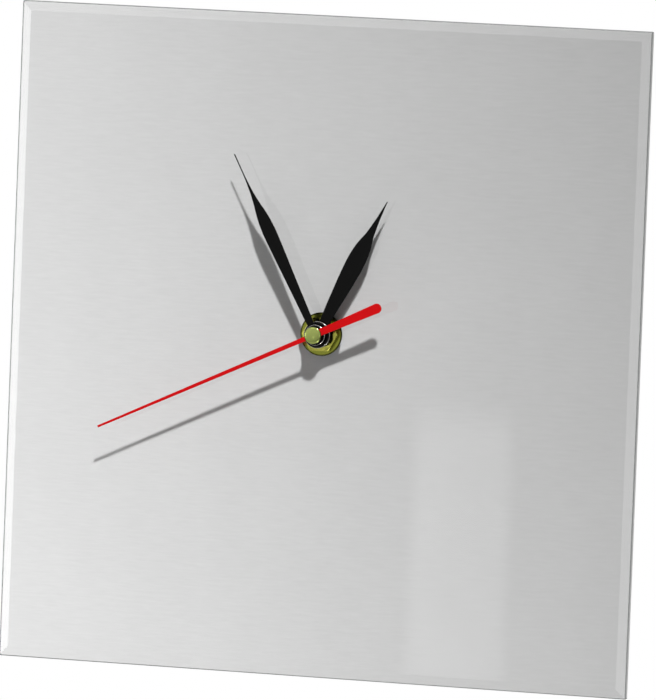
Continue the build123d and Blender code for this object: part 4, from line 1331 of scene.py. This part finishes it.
@dataclass(frozen=True)
class Housing:
    """The movement's shell, its back cover and the setting knob."""

    rounding: float = 0.16
    cover_rounding: float = 0.096
    engraving: float = 0.3
    sign_reach: float = 2.4
    sign_stroke: float = 0.63
    sign_inset: float = 4.6
    arrow_radius: float = 9.2
    arrow_width: float = 0.8
    arrow_start: float = 20.0
    arrow_sweep: float = 200.0
    arrow_steps: int = 40
    arrow_head: float = 1.5
    knob_rounding: float = 0.09
    knob_slot: Triple = (5.72, 1.2, 1.0)

    def build(self) -> None:
        """Build the shell, the engraved cover and the knob."""
        add_softened("case_shell", "movement_case", self.rounding, CASE_BLACK)
        cover = copy_of("back_cover")
        for cutter in self.engraved_signs():
            cover = carve(cover, cutter)
        add_piece("cover", soften(cover, self.cover_rounding), "clock",
                  COVER_BLACK, ["back_cover"])
        knob = carve(copy_of("setting_knob"), self.knob_mark())
        add_piece("set_knob", soften(knob, self.knob_rounding), "setting_knob",
                  KNOB_IVORY, ["setting_knob"])

    def engraved_signs(self) -> list[Shape]:
        """Cut the signs above the battery and the turning arrow by the knob's well.

        Returns:
            The cutters. Each is apart from the others, because no cutter may overlap itself.
        """
        low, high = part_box("back_cover")
        inset, depth = self.sign_inset * MM, 2 * self.engraving
        signs = bmesh.new()
        cross(signs, Vector((high.x - inset, high.y, low.z + inset)), self.sign_reach / 2,
              self.sign_stroke, depth)
        block(signs, Vector((low.x + inset, high.y, low.z + inset)),
              (self.sign_reach, depth, self.sign_stroke))
        knob = middle_of("setting_knob")
        centre = Vector((knob.x, high.y, knob.z))
        return [signs, self.arrow_arc(centre), self.arrow_point(centre)]

    def arrow_arc(self, centre: Vector) -> Shape:
        """A cutter for the arrow's arc.

        Args:
            centre: The arc's middle, on the cover's face.

        Returns:
            The cutter.
        """
        tool = bmesh.new()
        start = radians(self.arrow_start)
        outward = Vector((cos(start), 0, sin(start)))
        corners = []
        for side, depth in ((-1, -1), (1, -1), (1, 1), (-1, 1)):
            radius = self.arrow_radius + side * self.arrow_width / 2
            corner = outward * radius + Vector((0, depth * self.engraving, 0))
            corners.append(tool.verts.new(centre + corner * MM))
        edges = [tool.edges.new(pair) for pair in zip(corners, corners[1:] + corners[:1])]
        spun = bmesh.ops.spin(tool, geom=corners + edges, cent=centre, axis=Axis.DEPTH.value,
                              angle=radians(self.arrow_sweep), steps=self.arrow_steps)
        last = [item for item in spun["geom_last"] if isinstance(item, bmesh.types.BMEdge)]
        for loop in (edges, last):
            bmesh.ops.edgeloop_fill(tool, edges=loop)
        bmesh.ops.recalc_face_normals(tool, faces=tool.faces)
        return tool

    def arrow_point(self, centre: Vector) -> Shape:
        """A cutter for the arrow's head at the end of its arc.

        Args:
            centre: The arc's middle, on the cover's face.

        Returns:
            The cutter.
        """
        tool = bmesh.new()
        end = radians(self.arrow_start + self.arrow_sweep)
        tip = centre + Vector((cos(end), 0, sin(end))) * self.arrow_radius * MM
        facing = (Matrix.Rotation(-(end + QUARTER_TURN), 4, "Y")
                  @ Matrix.Rotation(QUARTER_TURN, 4, "Y")
                  @ Matrix.Rotation(QUARTER_TURN, 4, "X"))
        radius = self.arrow_head * MM
        bmesh.ops.create_cone(tool, cap_ends=True, segments=TRIANGLE, radius1=radius,
                              radius2=radius, depth=2 * self.engraving * MM,
                              matrix=Matrix.Translation(tip) @ facing)
        bmesh.ops.recalc_face_normals(tool, faces=tool.faces)
        return tool

    def knob_mark(self) -> Shape:
        """The screwdriver slot across the knob's face.

        Returns:
            The cutter.
        """
        middle = middle_of("setting_knob")
        tool = bmesh.new()
        block(tool, Vector((middle.x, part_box("setting_knob")[1].y, middle.z)), self.knob_slot)
        return tool


@dataclass(frozen=True)
class Power:
    """The battery in its bay and the two spring contacts.

    The can and its sleeve each have a profile at the base and one at the far end of the body,
    whose places are counted from that end.
    """

    body_length: float = 49.0
    can_base: Profile = ((0, 0.25), (4.6, 0.25), (5.0, 0), (6.2, 0), (6.95, 0.5))
    can_far: Profile = ((6.95, -0.6), (6.2, -0.1), (3.6, -0.1), (3.0, 0.25), (2.75, 0.5),
                        (2.75, 1.25), (2.4, 1.5), (0, 1.5))
    sleeve_base: Profile = ((5.7, 0.01), (6.5, 0.01), (6.95, 0.22), (7.1, 0.6))
    sleeve_far: Profile = ((7.1, -0.7), (6.95, -0.25), (6.4, 0), (5.2, 0), (5.2, -0.08),
                           (6.35, -0.09), (6.97, -0.7))
    sleeve_inside: Profile = ((6.97, 0.6), (6.4, 0.1), (5.7, 0.06))
    steps: int = 72
    blue: Colour = shade(38, 66, 104)
    silver: Colour = shade(206, 208, 210)
    orange: Colour = shade(232, 150, 40)
    contact_rounding: float = 0.05

    def build(self) -> None:
        """Build the can, its sleeve and the contacts."""
        middle = middle_of("battery")
        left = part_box("battery")[0].x
        start = Vector((left, middle.y, middle.z))
        can = (*self.can_base, *shifted(self.can_far, self.body_length))
        sleeve = (*self.sleeve_base, *shifted(self.sleeve_far, self.body_length),
                  *self.sleeve_inside)
        jacket = Jacket("battery_jacket", left, left + self.body_length * MM, middle.z,
                        self.blue, self.silver, self.orange)
        for name, profile, slot, finish, closed in (
                ("cell_can", can, "contact_metal", TINNED, False),
                ("cell_sleeve", sleeve, "battery_jacket", jacket, True)):
            shape = turned(profile, start, Axis.ACROSS, closed, self.steps)
            add_piece(name, shape, "battery", finish, ["battery"])
        for node in ("positive_contact", "negative_contact"):
            add_softened(f"{node}_strip", node, self.contact_rounding, TINNED, 1)


@dataclass(frozen=True)
class Motor:
    """The stepping motor: stator, core, bobbin and winding."""

    turns: int = 44
    groove: float = 0.96
    sides: int = 8
    bobbin_rounding: float = 0.08

    def build(self) -> None:
        """Build the winding and dress the rest."""
        paint(MOTOR_IRON, "stator", "coil_core")
        add_softened("bobbin", "coil_bobbin", self.bobbin_rounding, BOBBIN_BLUE)
        add_piece("winding", self.winding(), "clock", COPPER_WIRE,
                  ["coil_winding"])

    def winding(self) -> Shape:
        """Turn upon turn of wire, drawn up in rounds from one eight-sided loop.

        Returns:
            The winding.
        """
        low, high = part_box("coil_winding")
        middle, size = (low + high) / 2, high - low
        half_side = pi / self.sides
        shape = bmesh.new()
        place = (Matrix.Translation((middle.x, middle.y, low.z))
                 @ Matrix.Diagonal((size.x, size.y, 1, 1)) @ Matrix.Rotation(half_side, 4, "Z"))
        loop = bmesh.ops.create_circle(shape, cap_ends=True, segments=self.sides,
                                       radius=0.5 / cos(half_side), matrix=place)
        edges = each_once(edge for vert in loop["verts"] for edge in vert.link_edges)
        rise = size.z / (2 * self.turns)
        for half_turn in range(2 * self.turns):
            spun = bmesh.ops.extrude_edge_only(shape, edges=edges)["geom"]
            corners = [item for item in spun if isinstance(item, bmesh.types.BMVert)]
            edges = [item for item in spun if isinstance(item, bmesh.types.BMEdge)]
            share = self.groove if half_turn % 2 == 0 else 1 / self.groove
            bmesh.ops.translate(shape, verts=corners, vec=(0, 0, rise))
            bmesh.ops.scale(shape, verts=corners, vec=(share, share, 1),
                            space=Matrix.Translation((-middle.x, -middle.y, 0)))
        bmesh.ops.edgeloop_fill(shape, edges=edges)
        bmesh.ops.recalc_face_normals(shape, faces=shape.faces)
        return shape


@dataclass(frozen=True)
class Circuit:
    """The circuit board with its chip, its crystal and their joints.

    The crystal's can has a profile at its foot and one at its far end, whose places are counted
    from that end. Their radii are shares of the can's own.
    """

    resist: Colour = shade(30, 92, 52)
    track: Colour = shade(58, 128, 76)
    tin: Colour = shade(196, 196, 190)
    small_steps: int = 40
    blob_steps: int = 8
    blob_fullness: float = 1.4
    crystal_foot: Profile = ((0, 0), (0.96, 0), (1, 0.12), (1, 0.4), (0.93, 0.5))
    crystal_far: Profile = ((0.93, -0.35), (0.8, -0.08), (0.62, 0), (0, 0))
    crystal_joints: Point = (2.2, 1.1)
    coil_joints: Point = (6.5, 1.6)
    solder_radius: float = 0.75
    solder_height: float = 0.45
    solder_sides: int = 16
    solder_rings: int = 8

    def build(self) -> None:
        """Build the resin blob, the crystal's can and the solder, and dress the board."""
        paint(Board("board", self.resist, self.track, self.tin, middle_of("circuit_board").z),
              "circuit_board")
        add_piece("chip_blob", self.blob(), "clock", CHIP_RESIN, ["driver_chip"])
        add_piece("crystal", self.crystal(), "clock", CRYSTAL_METAL,
                  ["crystal_can"])
        add_piece("solder_joints", self.joints(), "clock", SOLDER)

    def blob(self) -> Shape:
        """The drop of resin, domed towards the wall.

        Returns:
            The drop.
        """
        width, height, _ = size_of("driver_chip")
        profile = [(0, 0), (width / 2, 0)]
        for step in range(1, self.blob_steps + 1):
            turn = QUARTER_TURN * step / self.blob_steps
            profile.append((width / 2 * cos(turn), -height * sin(turn) ** self.blob_fullness))
        middle = middle_of("driver_chip")
        foot = Vector((middle.x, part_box("driver_chip")[0].y, middle.z))
        return turned(profile, foot, steps=self.small_steps)

    def crystal(self) -> Shape:
        """The can lying on the board, with a rim at its foot.

        Returns:
            The can.
        """
        length, _, width = size_of("crystal_can")
        profile = [(width / 2 * share, along) for share, along in
                   (*self.crystal_foot, *shifted(self.crystal_far, length))]
        middle = middle_of("crystal_can")
        foot = Vector((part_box("crystal_can")[0].x, middle.y, middle.z))
        return turned(profile, foot, Axis.ACROSS, steps=self.small_steps)

    def joints(self) -> Shape:
        """Solder joints: two at the crystal and two for the coil's wires.

        Returns:
            The four joints.
        """
        high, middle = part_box("circuit_board")[1], middle_of("circuit_board").z
        shape = bmesh.new()
        for edge, (inset, reach) in ((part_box("crystal_can")[0].x, self.crystal_joints),
                                     (high.x, self.coil_joints)):
            for side in (-1, 1):
                self.solder(shape, Vector((edge - inset * MM, high.y, middle + side * reach * MM)))
        bmesh.ops.holes_fill(shape, edges=[edge for edge in shape.edges if edge.is_boundary])
        bmesh.ops.recalc_face_normals(shape, faces=shape.faces)
        return shape

    def solder(self, shape: Shape, place: Vector) -> None:
        """Add the dome of one joint, still open at its foot, to a shape.

        Args:
            shape: The shape that it is added to.
            place: The middle of its foot, on the board.
        """
        flatten = Matrix.Diagonal((1, self.solder_height / self.solder_radius, 1, 1))
        verts = bmesh.ops.create_uvsphere(
            shape, u_segments=self.solder_sides, v_segments=self.solder_rings,
            radius=self.solder_radius * MM, matrix=Matrix.Translation(place) @ flatten)["verts"]
        geometry = each_once(part for vert in verts
                             for part in (vert, *vert.link_edges, *vert.link_faces))
        bmesh.ops.bisect_plane(shape, geom=geometry, dist=FINE_GAP, plane_co=(0, place.y, 0),
                               plane_no=Axis.DEPTH.value, clear_outer=True)


@dataclass(frozen=True)
class Train:
    """The wheels of the train, the rotor and the plate that carries them."""

    plate_rounding: float = 0.1

    def build(self) -> None:
        """Dress the wheels, the arbors and the plate."""
        paint(WHEEL_WHITE, "intermediate_wheel", "seconds_wheel", "third_wheel",
              "centre_wheel", "motion_wheel", "hour_wheel", "rotor_pinion")
        paint(FINE_BRASS, "cannon_pinion")
        paint(FERRITE, "rotor_magnet")
        paint(BRIGHT_STEEL, "seconds_arbor")
        add_softened("plate", "train_plate", self.plate_rounding, PLATE_WHITE)


# Studio


def stand(lamp: bpy.types.Light, towards: Vector, distance: float,
          facing: Vector) -> bpy.types.Object:
    """Put a lamp in place.

    Args:
        lamp: The lamp.
        towards: The direction that it stands in.
        distance: How far away it stands, in metres.
        facing: The point that it faces.

    Returns:
        The lamp's object, which the camera doesn't see.
    """
    holder = bpy.data.objects.new(lamp.name, lamp)
    holder.rotation_mode = "QUATERNION"
    holder.rotation_quaternion = towards.to_track_quat("Z", "Y")
    holder.location = facing + towards * distance
    holder.visible_camera = False
    bpy.context.scene.collection.objects.link(holder)
    return holder


@dataclass(frozen=True)
class Softbox:
    """A softbox that only shows in polished surfaces, and fades towards its rim."""

    name: str
    facing: Triple
    towards: Triple
    size: Point
    glow: float
    fade: float = 0.15
    distance: float = 1.6

    def build(self) -> None:
        """Add the softbox."""
        lamp = bpy.data.lights.new(self.name, "AREA")
        lamp.shape = "RECTANGLE"
        lamp.size, lamp.size_y = self.size
        lamp.energy = LAMP_WATTS * self.size[0] * self.size[1] * self.glow
        recipe = Recipe(self.name, lamp, "ShaderNodeOutputLight")
        split = recipe.node("ShaderNodeSeparateXYZ")
        recipe.feed(split.inputs[0], recipe.node("ShaderNodeNewGeometry").outputs["Parametric"])
        half_fade = self.fade / 2
        level = recipe.math("MULTIPLY", *(
            recipe.soft_within(split.outputs[side], 0.5, 0.5 - half_fade, half_fade)
            for side in (0, 1)))
        emission = recipe.node("ShaderNodeEmission")
        recipe.feed(emission.inputs["Strength"], level)
        recipe.done(emission)
        holder = stand(lamp, Vector(self.towards).normalized(), self.distance,
                       Vector(self.facing))
        holder.visible_diffuse = False


@dataclass(frozen=True)
class Sun:
    """A far lamp; its angle is how wide it looks, in degrees."""

    name: str
    towards: Triple
    strength: float
    angle: float
    distance: float = 3.0

    def build(self) -> None:
        """Add the lamp."""
        lamp = bpy.data.lights.new(self.name, "SUN")
        lamp.energy = self.strength
        lamp.angle = radians(self.angle)
        stand(lamp, Vector(self.towards).normalized(), self.distance, Vector((0, 0, 0)))


@dataclass(frozen=True)
class Studio:
    """The floor, the lamps, the softboxes and the white surround."""

    floor_drop: float = 0.9
    floor_radius: float = 1.9
    floor_colour: Colour = (0.72, 0.72, 0.715)
    floor_cloud_size: float = 3.0
    floor_darkest: float = 0.985
    floor_roughness: float = 0.7
    floor_specular: float = 0.2
    key_towards: Triple = (0.39, -1.0, 1.06)
    key_share: float = 0.768
    key_angle: float = 3.0
    rear: Sun = Sun("rear", (-0.5, 1.0, 0.35), 1.9, 18.0)
    softboxes: tuple[Softbox, ...] = (
        Softbox("left_strip", (-0.148, -0.022, -0.006), (-0.765, -0.641, -0.066),
                (0.16, 0.62), 3.6),
        Softbox("top_strip", (0.0, -0.022, 0.142), (-0.318, -0.84, 0.44), (0.6, 0.2), 1.35),
        Softbox("right_strip", (0.148, -0.022, -0.006), (0.224, -0.972, -0.067),
                (0.12, 0.62), 1.55),
        Softbox("window", (0.069, -0.023, -0.095), (-0.304, -0.949, -0.086),
                (0.07, 0.2), 0.92, 0.18),
        Softbox("nut_light", (0.006, -0.027, -0.006), (0.27, -0.708, -0.653),
                (0.35, 0.35), 2.6, 0.3, 0.9),
        Softbox("rim_light", (0.003, -0.032, -0.003), (0.477, -0.177, -0.861),
                (0.15, 0.15), 22.0, 0.3, 0.5))
    fill: float = 0.09
    shine_from: Triple = (-0.45, -0.35, 0.82)
    shine_slope: Point = (-0.2, 0.55)
    least_shine: float = 0.3

    def build(self) -> None:
        """Lay the floor and set the lamps and the surround."""
        self.lay_floor()
        for lamp in (self.key(), self.rear, *self.softboxes):
            lamp.build()
        self.surround()

    def key(self) -> Sun:
        """The key lamp, as strong as its share of the light on the face asks for."""
        strength = pi * self.key_share / -Vector(self.key_towards).normalized().y
        return Sun("key", self.key_towards, strength, self.key_angle)

    def lay_floor(self) -> None:
        """Lay a round pale floor well below the clock."""
        recipe = Recipe("pale_floor")
        colour = recipe.clouded(recipe.noise(self.floor_cloud_size), self.floor_colour,
                                self.floor_darkest)
        material = recipe.done(recipe.surface(
            Base_Color=colour, Roughness=self.floor_roughness,
            Specular_IOR_Level=self.floor_specular))
        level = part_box("glass_panel")[0].z - self.floor_drop
        shape = bmesh.new()
        bmesh.ops.create_circle(shape, cap_ends=True, segments=ROUND_STEPS,
                                radius=self.floor_radius,
                                matrix=Matrix.Translation((0, 0, level)))
        mesh = bpy.data.meshes.new("floor")
        shape.to_mesh(mesh)
        shape.free()
        mesh.materials.append(material)
        floor = bpy.data.objects.new("floor", mesh)
        bpy.context.scene.collection.objects.link(floor)

    def surround(self) -> None:
        """A surround that looks white, lights the clock softly and gives metal its shades."""
        world = bpy.data.worlds.new("surround")
        bpy.context.scene.world = world
        recipe = Recipe("surround", world, "ShaderNodeOutputWorld")
        path = recipe.node("ShaderNodeLightPath")
        seen = recipe.math("MAXIMUM", path.outputs["Is Camera Ray"],
                           path.outputs["Is Transmission Ray"])
        level = recipe.spread(seen, self.fill, 1.0)
        slope = recipe.node("ShaderNodeVectorMath", operation="DOT_PRODUCT")
        recipe.feed(slope.inputs[0], recipe.coordinates.outputs["Generated"])
        recipe.feed(slope.inputs[1], self.shine_from)
        shine = recipe.ranged(slope.outputs["Value"], self.shine_slope, (self.least_shine, 1.0))
        glossy = recipe.math("MULTIPLY", path.outputs["Is Glossy Ray"], shine)
        light = recipe.node("ShaderNodeBackground")
        recipe.feed(light.inputs["Strength"], recipe.math("MAXIMUM", level, glossy))
        recipe.feed(light.inputs["Color"], (1.0, 1.0, 1.0))
        recipe.done(light)


@dataclass(frozen=True)
class Viewpoint:
    """The camera: where it looks from, how it is tipped and how long its lens is."""

    azimuth: float = 18.50
    elevation: float = 3.83
    roll: float = 2.22
    distance: float = 4.889
    aim: Triple = (0.00241, -0.020, -0.00721)
    lens: float = 555.9
    sensor: float = 36.0
    clip: Point = (0.1, 50.0)

    def build(self) -> None:
        """Set the camera up."""
        azimuth, elevation = radians(self.azimuth), radians(self.elevation)
        back = Vector((sin(azimuth) * cos(elevation), -cos(azimuth) * cos(elevation),
                       sin(elevation)))
        camera = bpy.data.cameras.new("camera")
        camera.lens = self.lens
        camera.sensor_width = self.sensor
        camera.clip_start, camera.clip_end = self.clip
        holder = bpy.data.objects.new("camera", camera)
        holder.rotation_mode = "QUATERNION"
        level = back.to_track_quat("Z", "Y")
        holder.rotation_quaternion = level @ Quaternion((0, 0, 1), radians(self.roll))
        holder.location = Vector(self.aim) + back * self.distance
        bpy.context.scene.collection.objects.link(holder)
        bpy.context.scene.camera = holder
        bpy.context.scene.view_settings.view_transform = "Standard"
        LOG.info("camera at (%.3f, %.3f, %.3f)", *holder.location)


def main() -> None:
    """Build the camera, the studio and every sub-assembly."""
    logging.basicConfig(level=logging.INFO, format="%(name)s: %(message)s")
    Viewpoint().build()
    Studio().build()
    for assembly in (Face(), Fixings(), Hands(), Bracket(), Housing(), Power(), Motor(),
                     Circuit(), Train()):
        LOG.info("building %s", type(assembly).__name__)
        assembly.build()


if __name__ == "__main__":
    main()
